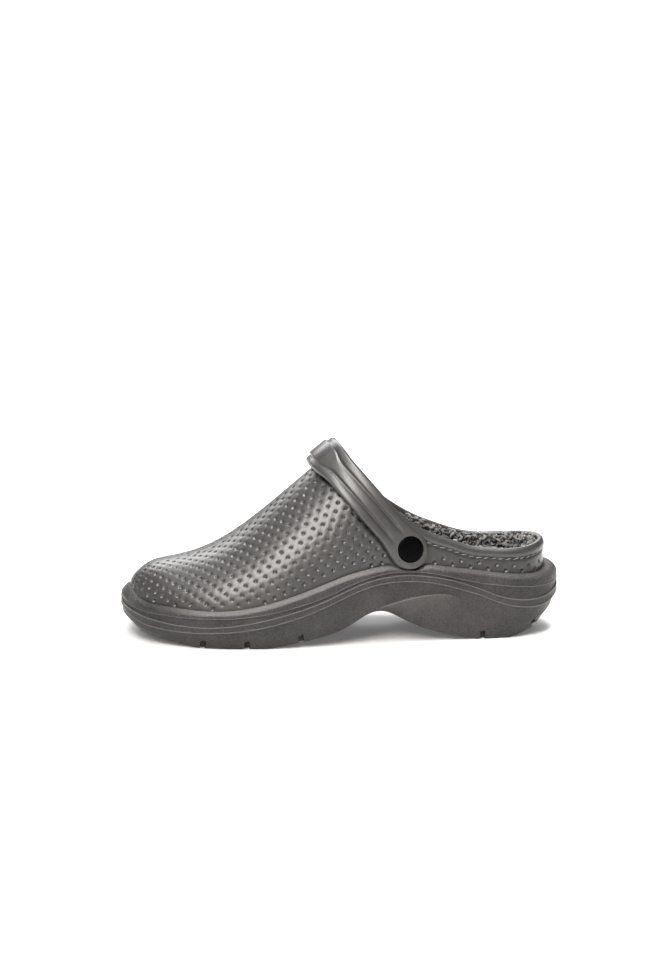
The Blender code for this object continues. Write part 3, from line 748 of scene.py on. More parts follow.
def strap_place(points):
    """How far points lie from the rivets along the strap, and in front of its middle line, seen from the side."""
    x = points[..., 0] - (RIVET_STATION - LENGTH / 2)
    z = points[..., 2] - RIVET_HEIGHT
    along = x * math.cos(STRAP_LEAN) + z * math.sin(STRAP_LEAN)
    return along, x * math.sin(STRAP_LEAN) - z * math.cos(STRAP_LEAN)


COLLAR_FINE = np.linspace(HEEL_END, THROAT, 1200)
COLLAR_EDGES = [section_points(COLLAR_FINE, side, top_angle(COLLAR_FINE, side, 0.0)) for side in SIDES]
COLLAR_TREE = point_tree(np.concatenate(COLLAR_EDGES))


def from_collar(points):
    return np.array([COLLAR_TREE.find(point)[2] for point in points])


def on_open_vamp(points):
    """Which points lie in front of the strap and clear of the collar."""
    return (strap_place(points)[1] > -PIT_BEHIND_STRAP) & (from_collar(points) > PIT_FROM_COLLAR)


ROW_GIRTH = natural_spline([row.station for row in PIT_ROWS], [row.girth for row in PIT_ROWS])
ROW_STEP = natural_spline([row.station for row in PIT_ROWS], [row.step for row in PIT_ROWS])


def vamp_pits(side):
    """(station, girth) of the dimples in front of the strap on one side, the same from the crest on both."""
    fine = np.linspace(PIT_ROWS[0].station, TOE_END - 0.3, 320)
    crest = crest_girth_at(side, fine)
    found = []
    for row in range(*PIT_COUNT):
        below = crest_girth_at(LATERAL, fine) - ROW_GIRTH(fine) - row * ROW_STEP(fine)
        line = on_upper(side, fine, np.clip(crest - below, 0, crest))
        run = run_along(line)
        anchor = float(np.interp(PIT_ANCHOR - row * PIT_STAGGER, fine, run))
        for place in np.arange(anchor % PIT_PITCH, run[-1], PIT_PITCH):
            station = float(np.interp(place, run, fine))
            depth = float(np.interp(station, fine, below))
            girth = float(crest_girth_at(side, station)) - depth
            if depth > PIT_FROM_CREST and girth > HEM_DEPTH + PIT_ABOVE_RIM:
                found.append((station, girth))
    found = np.array(found)
    points = on_upper(side, found[:, 0], found[:, 1])
    toe_tip = section_points(TOE_END, side, 0.0)
    return found[on_open_vamp(points) & (np.linalg.norm(points - toe_tip, axis=1) > HEM_DEPTH + PIT_ABOVE_RIM)]


def crest_pits():
    """(station, girth) of dimples close by the crest, on its outer side, that fill what the rows leave bare."""
    taken = [point for side in SIDES for point in on_upper(side, *vamp_pits(side).T)]
    stations = np.arange(PIT_ROWS[0].station, TOE_END - 10, 0.5)
    girths = crest_girth_at(LATERAL, stations) - PIT_FROM_CREST - 0.1
    places = on_upper(LATERAL, stations, girths)
    found = []
    for number in np.flatnonzero(on_open_vamp(places)):
        if np.linalg.norm(np.array(taken) - places[number], axis=1).min() > CREST_GAP:
            taken.append(places[number])
            found.append((stations[number], girths[number]))
    return np.array(found).reshape(-1, 2)


def quarter_pits(side):
    """(station, girth) of the two staggered rows of dimples above the rim, evenly on round the heel."""
    found = []
    anchor = float(np.interp(QUARTER_ANCHOR, STATIONS, HEM_RUN[LATERAL]))
    for number, above in enumerate(QUARTER_ROWS):
        start = side * (anchor + number * QUARTER_PITCH / 2) % QUARTER_PITCH
        for run in np.arange(start, HEM_RUN[side][-1], QUARTER_PITCH):
            station = float(np.interp(run, HEM_RUN[side], STATIONS))
            if run > QUARTER_FREE and station < QUARTER_END:
                found.append((station, HEM_DEPTH + above))
    return np.array(found)


def tangent_chart(side, station, girth):
    """How the (hem run, girth) chart answers to steps along two crossing directions on the upper at a point."""
    reach = 0.4
    ahead = on_upper(side, [station + reach, station - reach], [girth, girth])
    up = on_upper(side, [station, station], [girth + reach, girth - reach])
    along = (ahead[0] - ahead[1]) / (2 * reach)
    rise = (up[0] - up[1]) / (2 * reach)
    first = unit(rise)
    second = np.cross(unit(np.cross(along, rise)), first)
    return np.linalg.inv(np.array(((along @ first, rise @ first), (along @ second, rise @ second))))


def pit_rings(side, pits):
    """Stations and girths of the points of all dimples, and how far each lies from the middle of its dimple."""
    found = []
    for station, girth in pits:
        chart = tangent_chart(side, station, girth)
        found.append(np.array(((station,), (girth,), (0.0,))))
        for number, ring in enumerate(PIT_RINGS):
            turns = (np.arange(PIT_SIDES) + 0.5 * (number % 2)) * math.tau / PIT_SIDES
            steps = chart @ (ring * PIT_RADIUS * np.array((np.cos(turns), np.sin(turns))))
            found.append(np.array((station + steps[0], girth + steps[1], np.full(PIT_SIDES, ring * PIT_RADIUS))))
    found = np.concatenate(found, axis=1)
    return found[:, found[0] > HEEL_END + 1e-4]  # the heel seam keeps its own points


def upper_skin():
    """The outside of the upper as one welded sheet, with the distance of every point from its nearest dimple."""
    sheet = Welded()
    away = {}
    hem = {}
    collar = {}
    last = len(STATIONS) - 1
    for side in SIDES:
        run = HEM_RUN[side]
        top = TOP_GIRTH[side]
        heel_girths = np.linspace(0, top[0], 10)[-2:0:-1]
        around = np.concatenate((STATIONS, STATIONS[-2::-1], np.full(len(heel_girths), STATIONS[0])))
        loop = np.array((around, np.concatenate((np.zeros(last + 1), top[-2::-1], heel_girths))))
        charts = [loop]
        for offset in LIP_ROWS:
            stations, girths = collar_chart(side, offset)
            room = np.interp(stations, STATIONS, top) - girths
            kept = (girths > 1.0) & (room > LIP_ROOM * offset)
            kept &= (stations > HEEL_END + 0.4) & (stations < THROAT + 0.8 * offset)
            charts.append(np.array((stations, girths))[:, kept])
        pits = np.concatenate((vamp_pits(side), quarter_pits(side)))
        if side == LATERAL:
            pits = np.concatenate((pits, crest_pits()))
        rings = pit_rings(side, pits)
        chart = np.concatenate((*charts, rings[:2]), axis=1)
        count = chart.shape[1]
        taken = point_tree([(*place, 0) for place in zip(np.interp(chart[0], STATIONS, run), chart[1])])
        fill = []
        for number, girth in enumerate(np.arange(FILL_STEP, top.max(), FILL_STEP * math.sqrt(3) / 2)):
            for place in np.arange(FILL_STEP * (0.5 + 0.5 * (number % 2)), run[-1], FILL_STEP):
                free = taken.find((place, girth, 0))[2] > FILL_GAP * FILL_STEP
                if girth < np.interp(place, run, top) - 1 and free:
                    fill.append((float(np.interp(place, run, STATIONS)), girth))
        stations, girths = np.concatenate((chart, np.array(fill).T), axis=1)
        far = np.full(len(stations), FAR)
        far[count - rings.shape[1] : count] = rings[2]
        flat = [Vector(place) for place in zip(np.interp(stations, STATIONS, run), girths)]
        edges = [(k, (k + 1) % loop.shape[1]) for k in range(loop.shape[1])]
        _, _, triangles, origin, _, _ = delaunay_2d_cdt(flat, edges, [], 1, 1e-6)
        ids = sheet.add(on_upper(side, stations, girths))
        for triangle in triangles:
            corners = [ids[origin[k][0]] for k in triangle]
            sheet.face(corners[::-1] if side == LATERAL else corners)
        for number, distance in zip(ids.tolist(), far):
            away[number] = min(float(distance), away.get(number, FAR))
        hem[side] = ids[: last + 1]
        collar[side] = ids[last : 2 * last + 1][::-1]
    return sheet, np.array([away[k] for k in range(len(sheet.points))]), hem, collar


def wall_grid(sheet, stations, rows, drop, skirt):
    """A coarser skin of the upper in columns, its points welded into a sheet; returns ids[side][column][row]."""
    ids = {}
    shares = np.linspace(0, 1, rows + 1)
    for side in SIDES:
        tops = top_angle(stations, side, drop(stations, side))
        points = section_points(stations[:, None], side, tops[:, None] * shares[None, :])
        if skirt:
            foot = points[:, :1].copy()
            foot[:, 0, 2] = SOLE_LINE["bed"](stations) + LINING_SKIRT
            points = np.concatenate((foot, points), axis=1)
        ids[side] = sheet.add(points).reshape(points.shape[:2])
        for back, front in zip(ids[side], ids[side][1:]):
            sheet.strip(back, front, flip=side == MEDIAL)
    return ids


def level_hem(normals, ids):
    """Hem normals made horizontal, so that the wall stands upright where the sole holds it."""
    normals[ids, 2] = 0
    normals[ids] = unit(normals[ids])


def new_tree(name, kinds):
    """A node tree with named inputs, the function that adds nodes to it, and its inputs."""
    tree = bpy.data.node_groups.new(name, "GeometryNodeTree")
    for socket, kind in {"Geometry": "Geometry", **kinds, "Material": "Material"}.items():
        tree.interface.new_socket(socket, in_out="INPUT", socket_type="NodeSocket" + kind)
    tree.interface.new_socket("Geometry", in_out="OUTPUT", socket_type="NodeSocketGeometry")
    node = partial(add_node, tree)
    return tree, node, node("NodeGroupInput").outputs


def close_tree(node, given, geometry):
    """Ends a node tree: instances made real, material set."""
    real = node("GeometryNodeRealizeInstances", {"Geometry": geometry})
    coated = node("GeometryNodeSetMaterial", {"Geometry": real, "Material": given["Material"]})
    node("NodeGroupOutput", {"Geometry": coated})


def pit_tree():
    """Presses round dimples into a skin whose points know their distance from the nearest dimple."""
    tree, node, given = new_tree("moulded_dimples", {"Pit radius": "Float", "Pit depth": "Float"})
    away = node("GeometryNodeInputNamedAttribute", {"Name": "pit_distance"}, data_type="FLOAT")
    share = node("ShaderNodeMath", {0: away, 1: given["Pit radius"]}, operation="DIVIDE")
    curved = node("ShaderNodeMath", {0: share, 1: PIT_POWER}, operation="POWER")
    bowl = node("ShaderNodeMath", {0: 1.0, 1: curved}, operation="SUBTRACT", use_clamp=True)
    depth = node("ShaderNodeMath", {0: bowl, 1: given["Pit depth"]}, operation="MULTIPLY")
    inward = node("ShaderNodeMath", {0: depth, 1: -1.0}, operation="MULTIPLY")
    push = node("ShaderNodeVectorMath", {0: node("GeometryNodeInputNormal"), "Scale": inward}, operation="SCALE")
    close_tree(node, given, node("GeometryNodeSetPosition", {"Geometry": given["Geometry"], "Offset": push}))
    return tree


def grow(obj, tree, values):
    """Runs a node tree on an object with its named inputs set, and keeps the result as the object's mesh."""
    modifier = obj.modifiers.new(tree.name, "NODES")
    modifier.node_group = tree
    for item in tree.interface.items_tree:
        if item.item_type == "SOCKET" and item.in_out == "INPUT" and item.name in values:
            modifier[item.identifier] = values[item.name]
    return made_plain(obj)


def strap_half(along, edge):
    """Width of the strap from its middle line to its back or front edge."""
    if along < 0:
        return math.sqrt(max(STRAP_END**2 - along**2, 0.0))
    waist = STRAP_WAIST[edge]
    neck = STRAP_END + (waist - STRAP_END) * eased(share_past(along, 0, STRAP_NECK))
    return neck + (STRAP_TOP[edge] - waist) * eased(share_past(along, STRAP_FLARE, STRAP_REACH - STRAP_FLARE))


def strap_painted_shadow(points):
    """Painted shadow in front of the strap: greatest on the line where the front edge of the strap meets the upper,
    and 1 less per millimetre ahead.
    """
    along, forward = strap_place(points)
    edge = np.array([strap_half(float(a), FRONT) for a in along])
    edge += STRAP_OFF * np.sin(math.pi * share_past(along, 0, STRAP_REACH))
    return np.where((forward > 0) & (along > SHADOW_PAINT_START), np.maximum(SHADOW_PAINT_PEAK - forward + edge, 0), 0)


def upper_piece():
    sheet, distances, hem, collar = upper_skin()
    normals = sheet.normals()
    for side in SIDES:
        level_hem(normals, hem[side])
    outer = np.array(sheet.points)
    edge_away = from_collar(outer)
    offset = 2 * share_past(edge_away, 0, ROLL_HEIGHT) - 1
    channel = CHANNEL_DEPTH * np.exp(-(((edge_away - STITCH_DROP) / CHANNEL_HALF) ** 2))
    skin = outer + normals * (COLLAR_ROLL * np.sqrt(1 - offset * offset) - channel)[:, None]
    inner_sheet = Welded()
    grid = wall_grid(inner_sheet, STATIONS, INNER_ROWS, lambda stations, side: 0.0, False)
    inner_normals = inner_sheet.normals()
    for side in SIDES:
        level_hem(inner_normals, grid[side][:, 0])
    inner = np.array(inner_sheet.points) - inner_normals * WALL
    body = shell(skin, sheet.faces, inner, inner_sheet.faces)
    start = len(skin)
    behind = int((STATIONS <= THROAT + 1e-6).sum())
    for side in SIDES:
        outside = collar[side][:behind]
        inside = grid[side][:behind, -1]
        edge = skin[outside]
        back = inner[inside]
        tangent = np.gradient(edge, axis=0)
        up = unit(np.cross(tangent, normals[outside]))
        up *= np.sign(up[:, 2:3])
        rows = [outside]
        for turn in math.pi * np.arange(1, LIP_STEPS) / LIP_STEPS:
            arc = (edge + back) / 2 + (edge - back) / 2 * math.cos(turn) + up * COLLAR_CROWN * math.sin(turn)
            rows.append(len(body.points) + np.arange(behind))
            body.points.extend(arc)
        rows.append(start + inside)
        bridge(body, rows, (hem[side], start + grid[side][:, 0]), side)
    obj = new_object("moulded_upper", body.points, body.faces)
    bm = bmesh.new()
    bm.from_mesh(obj.data)
    bmesh.ops.remove_doubles(bm, verts=bm.verts[start:], dist=LIP_WELD * MM)
    bm.to_mesh(obj.data)
    bm.free()
    obj.data.shade_smooth()
    far = np.full(len(obj.data.vertices), FAR)
    far[: len(distances)] = distances
    point_values(obj, "pit_distance", far * MM)
    points = np.array([vertex.co for vertex in obj.data.vertices]) / MM - FRAME_SHIFT
    # Painted shadow in front of the strap's front edge, for the foam material to darken.
    point_values(obj, "cleft", strap_painted_shadow(points))
    values = {"Pit radius": PIT_RADIUS * MM, "Pit depth": PIT_DEPTH * MM, "Material": UPPER_FOAM}
    return grow(obj, pit_tree(), values)


# Sole


Rims = namedtuple("Rims", "station x y out_x out_y")


def outline(stations):
    """The hem in plan, lateral side forward and medial side back, with its outward directions."""
    lateral = section_points(stations, LATERAL, 0.0)
    medial = section_points(stations[1:-1][::-1], MEDIAL, 0.0)
    points = np.concatenate((lateral, medial))[:, :2]
    steps = np.roll(points, -1, axis=0) - points
    second = unit(np.stack((-steps[:, 1], steps[:, 0]), axis=1))
    first = np.roll(second, 1, axis=0)
    out = (first + second) / (1 + (first * second).sum(axis=1))[:, None]
    places = np.concatenate((stations, stations[1:-1][::-1]))
    return Rims(places, points[:, 0], points[:, 1], out[:, 0], out[:, 1])


def line_at(name, rims, out):
    return SOLE_LINE[name](rims.x + out * rims.out_x + LENGTH / 2)


def seat_dip(station):
    """The rim dips under the round end of the strap."""
    away = share_past(np.abs(station - RIVET_STATION), 0, SEAT_REACH)
    return SEAT_DIP * np.cos(math.pi / 2 * away) ** 2


def softened(rows, radius):
    """Rows of (out, height) with every corner between the first and the last rounded off."""
    found = [rows[0]]
    for before, corner, after in zip(rows, rows[1:], rows[2:]):
        ends = []
        for other in (before, after):
            reach = np.hypot(other[0] - corner[0], other[1] - corner[1])
            share = np.minimum(radius, 0.4 * reach) / np.maximum(reach, 1e-6)
            ends.append([c + (o - c) * share for o, c in zip(other, corner)])
        middle = [0.25 * a + 0.5 * c + 0.25 * b for a, c, b in zip(ends[0], corner, ends[1])]
        found += [tuple(ends[0]), tuple(middle), tuple(ends[1])]
    return found + [rows[-1]]


def sole_rows(rims):
    """Rows of the sole from the edge of the bed, over the rim and down the side to the tread, and how much painted
    highlight each carries.
    """
    station = rims.station
    line = {name: curve(station) for name, curve in SOLE_LINE.items()}
    ledge = LEDGE(station)
    tuck = TUCK(station)
    nose = eased(share_past(station, TOE_END - NOSE_REACH, NOSE_REACH - 2))
    shoulder = line["shoulder"] + STEP
    dip = seat_dip(station) + NOSE_DIP * np.exp(-(((station - TOE_END + NOSE_DIP_BACK) / NOSE_DIP_HALF) ** 2))
    top = np.maximum(line["rim"] - dip, shoulder + SEAT_RIM)
    brow = np.minimum(BROW(station) * (1 + 0.25 * nose), 0.7 * (top - shoulder))
    shelf = hem_height(station) - GAP
    full = eased(share_past(station, TOE_END - TOE_FULL, TOE_FULL - 2))
    breast_out = ledge - STEP - BREAST_TUCK * tuck * (1 - full)
    same = np.ones_like(station)
    bed_edge = (-BOWL_INSET - BOWL_FILLET) * same
    edge_out = ledge - tuck * (1 - FULL_EDGE * full)
    sole_out = edge_out - EDGE
    lean = NOSE_LEAN * eased(share_past(station, TOE_END - 6, 5))
    crown = ledge * CROWN_SHARE * (1 - nose) - lean
    tread = lambda out: np.maximum(line_at("tread", rims, out), 0.0)
    touch = -RIM_TOUCH * same
    inside = [
        (bed_edge, line_at("bed", rims, bed_edge)),
        (-BOWL_INSET * same, line_at("bed", rims, -BOWL_INSET * same) + BOWL_FILLET),
        (-BOWL_INSET * same, shelf),
        (touch, shelf),
        (touch - lean, top - STEP),
    ]
    round_rim = [(crown, top)]
    for turn in np.linspace(0, math.pi / 2, RIM_TURNS + 1)[1:]:
        out = crown + (ledge - crown) * math.sin(turn)
        round_rim.append((out, top - brow * (1 - abs(math.cos(turn)) ** (1.2 + nose))))
    side = [
        (ledge, top - brow),
        (ledge, shoulder + 0.25),
        (ledge + BEAD, shoulder),
        (ledge - STEP, line["shoulder"] - 0.1),
        (ledge - STEP, line["ribbon_top"] + LINE_HALF),
        (ledge + BEAD, line["ribbon_top"]),
        (ledge, line["ribbon_top"] - LINE_HALF),
        (ledge, line["ribbon_foot"] + LINE_HALF),
        (ledge + BEAD, line["ribbon_foot"]),
        (ledge - STEP, line["ribbon_foot"] - STEP),
        (breast_out, line["breast"] + STEP),
        (breast_out + WING * plateau(station, WING_STATIONS), line["breast"]),
        (edge_out, tread(edge_out) + EDGE),
        (sole_out, tread(sole_out)),
    ]
    upper_rows = softened(inside + round_rim[:1], SOLE_FILLET)[:-1]
    # Painted highlight: the rim top, the raised lines and the wing of the breast get a paler tone, as where they catch
    # the light.
    highlit = RIM_HIGHLIGHT * (1 - eased(share_past(station, *HIGHLIGHT_TOE)))
    highlit *= HIGHLIGHT_HEEL_LEAST + (1 - HIGHLIGHT_HEEL_LEAST) * eased(share_past(station, *HIGHLIGHT_HEEL))
    none = 0.0 * same
    wear = [none] * len(upper_rows) + [highlit] * (len(round_rim) - 2) + [highlit / 2, none]
    lines = {number: same for number in LINE_ROWS}
    lines[WING_ROW] = HIGHLIGHT_WING * plateau(station, WING_STATIONS)
    for number in range(1, len(side) - 1):
        most = lines.get(number, none)
        wear += [HIGHLIGHT_BESIDE * most, most, HIGHLIGHT_BESIDE * most]
    return upper_rows + round_rim[:-1] + softened(side, SOLE_FILLET), wear + [none]


def ring_body(rims, rows, across):
    """A closed body from rows of (out, height) round an outline, capped by a grid of strips at both ends."""
    body = Welded()
    rings = []
    for out, height in rows:
        points = np.stack((rims.x + out * rims.out_x, rims.y + out * rims.out_y, height), axis=1)
        rings.append(len(body.points) + np.arange(len(points)))
        body.points.extend(points)
    for upper, lower in zip(rings, rings[1:]):
        body.strip(lower, upper, closed=True)
    half = len(rims.x) // 2
    for ring, flip in ((rings[0], False), (rings[-1], True)):
        points = np.array(body.points)
        lines = [[ring[0]] * (across + 1)]
        for i in range(1, half):
            ends = ring[i], ring[-i]
            row = [ends[0]]
            for share in np.arange(1, across) / across:
                row.append(len(body.points))
                body.points.append(points[ends[0]] * (1 - share) + points[ends[1]] * share)
            lines.append(row + [ends[1]])
        lines.append([ring[half]] * (across + 1))
        for back, front in zip(lines, lines[1:]):
            for k in range(across):
                corners = [back[k], front[k], front[k + 1], back[k + 1]]
                body.face(corners if flip else corners[::-1])
    return body


def box_faces(start):
    quads = ((0, 1, 3, 2), (4, 6, 7, 5), (0, 4, 5, 1), (2, 3, 7, 6), (0, 2, 6, 4), (1, 5, 7, 3))
    return [[start + k for k in quad] for quad in quads]


def groove_bars(depth, reach_in):
    """Bars on both edges of the sole, each of which leaves one tread groove or the notch where it ends."""
    points = []
    faces = []
    reach = 4.0
    for station in GROOVES:
        ahead, behind, height = [max(float(SOLE_LINE["tread"](station + d)), 0) for d in (reach, -reach, 0)]
        tilt = Matrix.Rotation(-math.atan2(ahead - behind, 2 * reach), 4, "Y")
        place = Matrix.Translation((station - LENGTH / 2, 0, height)) @ tilt
        for side in SIDES:
            faces += box_faces(len(points))
            edge = float(half_width(station, side) + LEDGE(station) - TUCK(station))
            inner = edge - reach_in if reach_in else GROOVE_MIDDLE
            for x in (-0.5, 0.5):
                for y in (inner, edge + 25):
                    for z in (-1, 1):
                        across = float(CENTRE(station)) + side * y
                        points.append(place @ Vector((x * GROOVE_WIDTH, across, z * depth)))
    return outward(new_object("groove_bars", points, faces))


def cut_away(obj, cutter):
    modifier = obj.modifiers.new("cut", "BOOLEAN")
    modifier.operation = "DIFFERENCE"
    modifier.solver = "EXACT"
    modifier.object = cutter
    made_plain(obj)
    bpy.data.objects.remove(cutter)
    return obj


def shade_by_angle(obj):
    """Smooth shading with the sharp edges kept."""
    obj.data.shade_smooth()
    obj.data.set_sharp_from_angle(angle=math.radians(SHARP_ANGLE))
    return obj


def carried_over(obj, name, points, values):
    """Gives the points that a cut has left where they were their values, and the new ones nothing."""
    known = point_tree(to_frame(points))
    nearest = [known.find(vertex.co) for vertex in obj.data.vertices]
    point_values(obj, name, [values[number] if away < 1e-5 else 0.0 for _, number, away in nearest])


SOLE_STATIONS = column_stations(20, 44, 18, 64, 24)


def sole_piece():
    rims = outline(SOLE_STATIONS)
    rows, wear = sole_rows(rims)
    body = ring_body(rims, rows, BED_STRIPS)
    obj = outward(new_object("cup_sole", body.points, body.faces, SOLE_FOAM))
    cut_away(obj, groove_bars(GROOVE_DEPTH, None))
    cut_away(obj, groove_bars(NOTCH_DEPTH, NOTCH_REACH))
    # Painted highlight values, kept on the points that the cuts leave.
    painted_light = np.concatenate((np.concatenate(wear), np.zeros(len(body.points) - len(wear) * len(rims.x))))
    carried_over(obj, "wear", body.points, painted_light)
    return shade_by_angle(obj)


# Strap and rivets


def rivet_frame(side):
    """The rivet axis as a matrix whose origin is on the upper and whose Z points out of it."""
    normal = wall_normal(RIVET_STATION, RIVET_HEIGHT, side)
    place = Vector((RIVET_STATION - LENGTH / 2, float(wall_y(RIVET_STATION, RIVET_HEIGHT, side)), RIVET_HEIGHT))
    return Matrix.Translation(place) @ normal.to_track_quat("Z", "Y").to_matrix().to_4x4()


def turned(name, profile, axis, material=None):
    """A body turned about the Z axis of a matrix from (radius, height) points that start and end on it."""
    body = Welded()
    turns = np.arange(TURNS) * math.tau / TURNS
    body.loft([[axis @ Vector((r * math.cos(t), r * math.sin(t), height)) for t in turns] for r, height in profile])
    return outward(new_object(name, body.points, body.faces, material))


def rivet_piece(side, name):
    seat = STRAP_GAP + STRAP_FLOOR + GAP
    crown = STRAP_GAP + STRAP_THICK + HEAD_PROUD
    flange = -FLANGE_SEAT - GAP
    back = GAP - WALL
    dome = [(0.0, 0.0), (0.4, 0.03), (0.7, 0.12), (0.84, 0.28), (0.93, 0.5), (0.98, 0.75), (1.0, 1.1)]
    profile = [(share * HEAD_RADIUS, crown - drop) for share, drop in dome]
    profile += [(HEAD_RADIUS, seat), (SHANK_RADIUS, seat), (SHANK_RADIUS, flange), (FLANGE_RADIUS, flange)]
    profile += [(FLANGE_RADIUS, back), (0, back)]
    return shade_by_angle(turned(name, profile, rivet_frame(side), RIVET_NYLON))


def strap_bore(side):
    wide = HEAD_RADIUS + GAP
    floor = STRAP_GAP + STRAP_FLOOR
    top = STRAP_GAP + 2 * STRAP_THICK
    profile = [(0, -WALL), (BORE_RADIUS, -WALL), (BORE_RADIUS, floor), (wide, floor), (wide, top), (0, top)]
    return turned("strap_bore", profile, rivet_frame(side))


ALONG = Vector((math.cos(STRAP_LEAN), 0, math.sin(STRAP_LEAN)))  # from the rivets to the top of the strap
FORWARD = Vector((math.sin(STRAP_LEAN), 0, -math.cos(STRAP_LEAN)))  # to the front edge of the strap


def strap_path():
    """(across, along) points of the underside of the strap in its own plane, from the lateral end round."""
    outer = float(wall_y(RIVET_STATION, RIVET_HEIGHT, LATERAL)) + STRAP_GAP
    inner = float(wall_y(RIVET_STATION, RIVET_HEIGHT, MEDIAL)) - STRAP_GAP
    shift = float(CENTRE(RIVET_STATION + STRAP_REACH * ALONG.x)) - (outer + inner) / 2
    path = []
    for i in range(STRAP_ARC + 1):
        turn = math.pi * i / STRAP_ARC
        reach = math.copysign(abs(math.cos(turn)) ** (2 / STRAP_POWER), math.cos(turn))
        rise = abs(math.sin(turn)) ** (2 / STRAP_POWER)
        side = LATERAL if reach > 0 else MEDIAL
        room = side * STRAP_BULGE[side] * math.sin(math.pi * rise)
        across = (outer + inner) / 2 + reach * (outer - inner) / 2 + shift * rise + room
        path.append((across, STRAP_REACH * rise))
    ends = [-STRAP_END * math.sin(STRAP_END_TURN * i / STRAP_END_STEPS) for i in range(STRAP_END_STEPS, 0, -1)]
    return [(outer, h) for h in ends] + path + [(inner, h) for h in reversed(ends)]


def strap_section(along):
    """(across, height) points round the strap: flat under, three ribs and two grooves on top, corners rounded."""
    start, full = GROOVE_START
    on_top = eased(share_past(along, PAD_START, STRAP_REACH - PAD_START))
    spread = eased(share_past(along, PAD_START - 4, STRAP_REACH - PAD_START + 3))
    pad = STRAP_THICK + PAD_RISE * on_top
    valley = STRAP_THICK - STRAP_GROOVE * eased(share_past(along, start, full - start)) * (1 - spread)
    edge = STRAP_THICK - STRAP_CHAMFER
    right = [(0.72, 0), (0.9, 0.8), (1.0, 2.2), (1.0, edge), (0.87, STRAP_THICK), (0.52 + 0.14 * spread, STRAP_THICK)]
    right += [(0.42 + 0.2 * spread, valley), (0.32 + 0.28 * spread, valley), (0.22 + 0.33 * spread, pad)]
    corners = [(share * strap_half(along, FRONT), height) for share, height in right]
    corners += [(-share * strap_half(along, BACK), height) for share, height in reversed(right)]
    ring = [corners[-1]] + corners + [corners[0]]
    return softened(ring, STRAP_FILLET)[1:-1]


def strap_splay(side):
    """Slope of the wall across the strap at a rivet."""
    normal = wall_normal(RIVET_STATION, RIVET_HEIGHT, side)
    return -normal.dot(FORWARD) / abs(normal.y)


def strap_piece():
    body = Welded()
    path = strap_path()
    base = Vector((RIVET_STATION - LENGTH / 2, 0, RIVET_HEIGHT))
    middle = float(CENTRE(RIVET_STATION))
    splays = {side: strap_splay(side) for side in SIDES}
    loops = []
    for i, (across, along) in enumerate(path):
        before = path[max(i - 1, 0)]
        after = path[min(i + 1, len(path) - 1)]
        normal = Vector((0, after[1] - before[1], 0)) - ALONG * (after[0] - before[0])
        normal.normalize()
        rise = float(share_past(along, 0, STRAP_REACH))
        splay = splays[LATERAL if across > middle else MEDIAL] * (1 - rise**4) + TOP_SPLAY * rise**4
        place = base + Vector((0, across, 0)) + ALONG * along
        loop = []
        for wide, height in strap_section(along):
            loop.append(len(body.points))
            body.points.append(place + FORWARD * float(wide) + normal * float(height + splay * wide))
        loops.append(loop)
    for back, front in zip(loops, loops[1:]):
        body.strip(back, front, closed=True)
    body.faces.append(loops[0])
    body.faces.append(loops[-1][::-1])
    obj = outward(new_object("swing_strap", body.points, body.faces, UPPER_FOAM))
    for side in SIDES:
        cut_away(obj, strap_bore(side))
    return shade_by_angle(obj)


# Stitches


STITCH_PITCH = 4.5
STITCH_LENGTH = 3.3
STITCH_RADIUS = 0.29
STITCH_SLANT = math.radians(16)
STITCH_END = 124.0  # station of the last one, under the strap
STITCH_RISE = 0.3
STITCH_SUNK = 0.12
STITCH_SIDES = 8
STITCH_STEPS = 8


def stitch_mesh():
    """One slanted stitch: a short thread that rises out of the foam and dives back in."""
    rings = []
    for share in np.linspace(-1, 1, STITCH_STEPS + 1):
        radius = STITCH_RADIUS * max(1 - share**4, 0.05)
        along = share * STITCH_LENGTH / 2
        rise = STITCH_RISE * (1 - share * share) - STITCH_SUNK
        turns = np.arange(STITCH_SIDES) * math.tau / STITCH_SIDES
        ring = [Vector((along, radius * math.cos(t), rise + radius * math.sin(t))) for t in turns]
        rings.append([Matrix.Rotation(STITCH_SLANT, 3, "Z") @ point for point in ring])
    return tube("one_stitch", rings, THREAD)


def stitch_tree():
    """Sets stitches at an even pitch along a seam, upright on the surface that carries it."""
    tree, node, given = new_tree("collar_stitching", {"Stitch": "Object", "Pitch": "Float"})
    curve = node("GeometryNodeMeshToCurve", {"Mesh": given["Geometry"]})
    even = node("GeometryNodeResampleCurve", {"Curve": curve, "Length": given["Pitch"]}, mode="LENGTH")
    out = node("GeometryNodeInputNamedAttribute", {"Name": "seam_out"}, data_type="FLOAT_VECTOR")
    axes = {0: out, 1: node("GeometryNodeInputTangent")}
    turn = node("FunctionNodeAxesToRotation", axes, primary_axis="Z", secondary_axis="X")
    stitch = node("GeometryNodeObjectInfo", {"Object": given["Stitch"]}).outputs["Geometry"]
    placed = node("GeometryNodeInstanceOnPoints", {"Points": even, "Instance": stitch, "Rotation": turn})
    close_tree(node, given, placed)
    return tree


def seam_line(side):
    """Points and outward directions of the seam below the collar, from the heel to under the strap."""
    stations, girths = collar_chart(side, STITCH_DROP)
    kept = (stations < STITCH_END) & (stations > HEEL_END + 0.2)
    stations = np.concatenate(([HEEL_END], stations[kept]))
    girths = np.concatenate((girths[:1], girths[kept]))
    points = on_upper(side, stations, girths)
    ahead = on_upper(side, stations + 0.3, girths) - on_upper(side, np.maximum(stations - 0.3, HEEL_END), girths)
    up = on_upper(side, stations, girths + 0.3) - on_upper(side, stations, girths - 0.3)
    out = unit(np.cross(up, ahead) * side)
    out[0] = (-1, 0, 0)
    return points, out


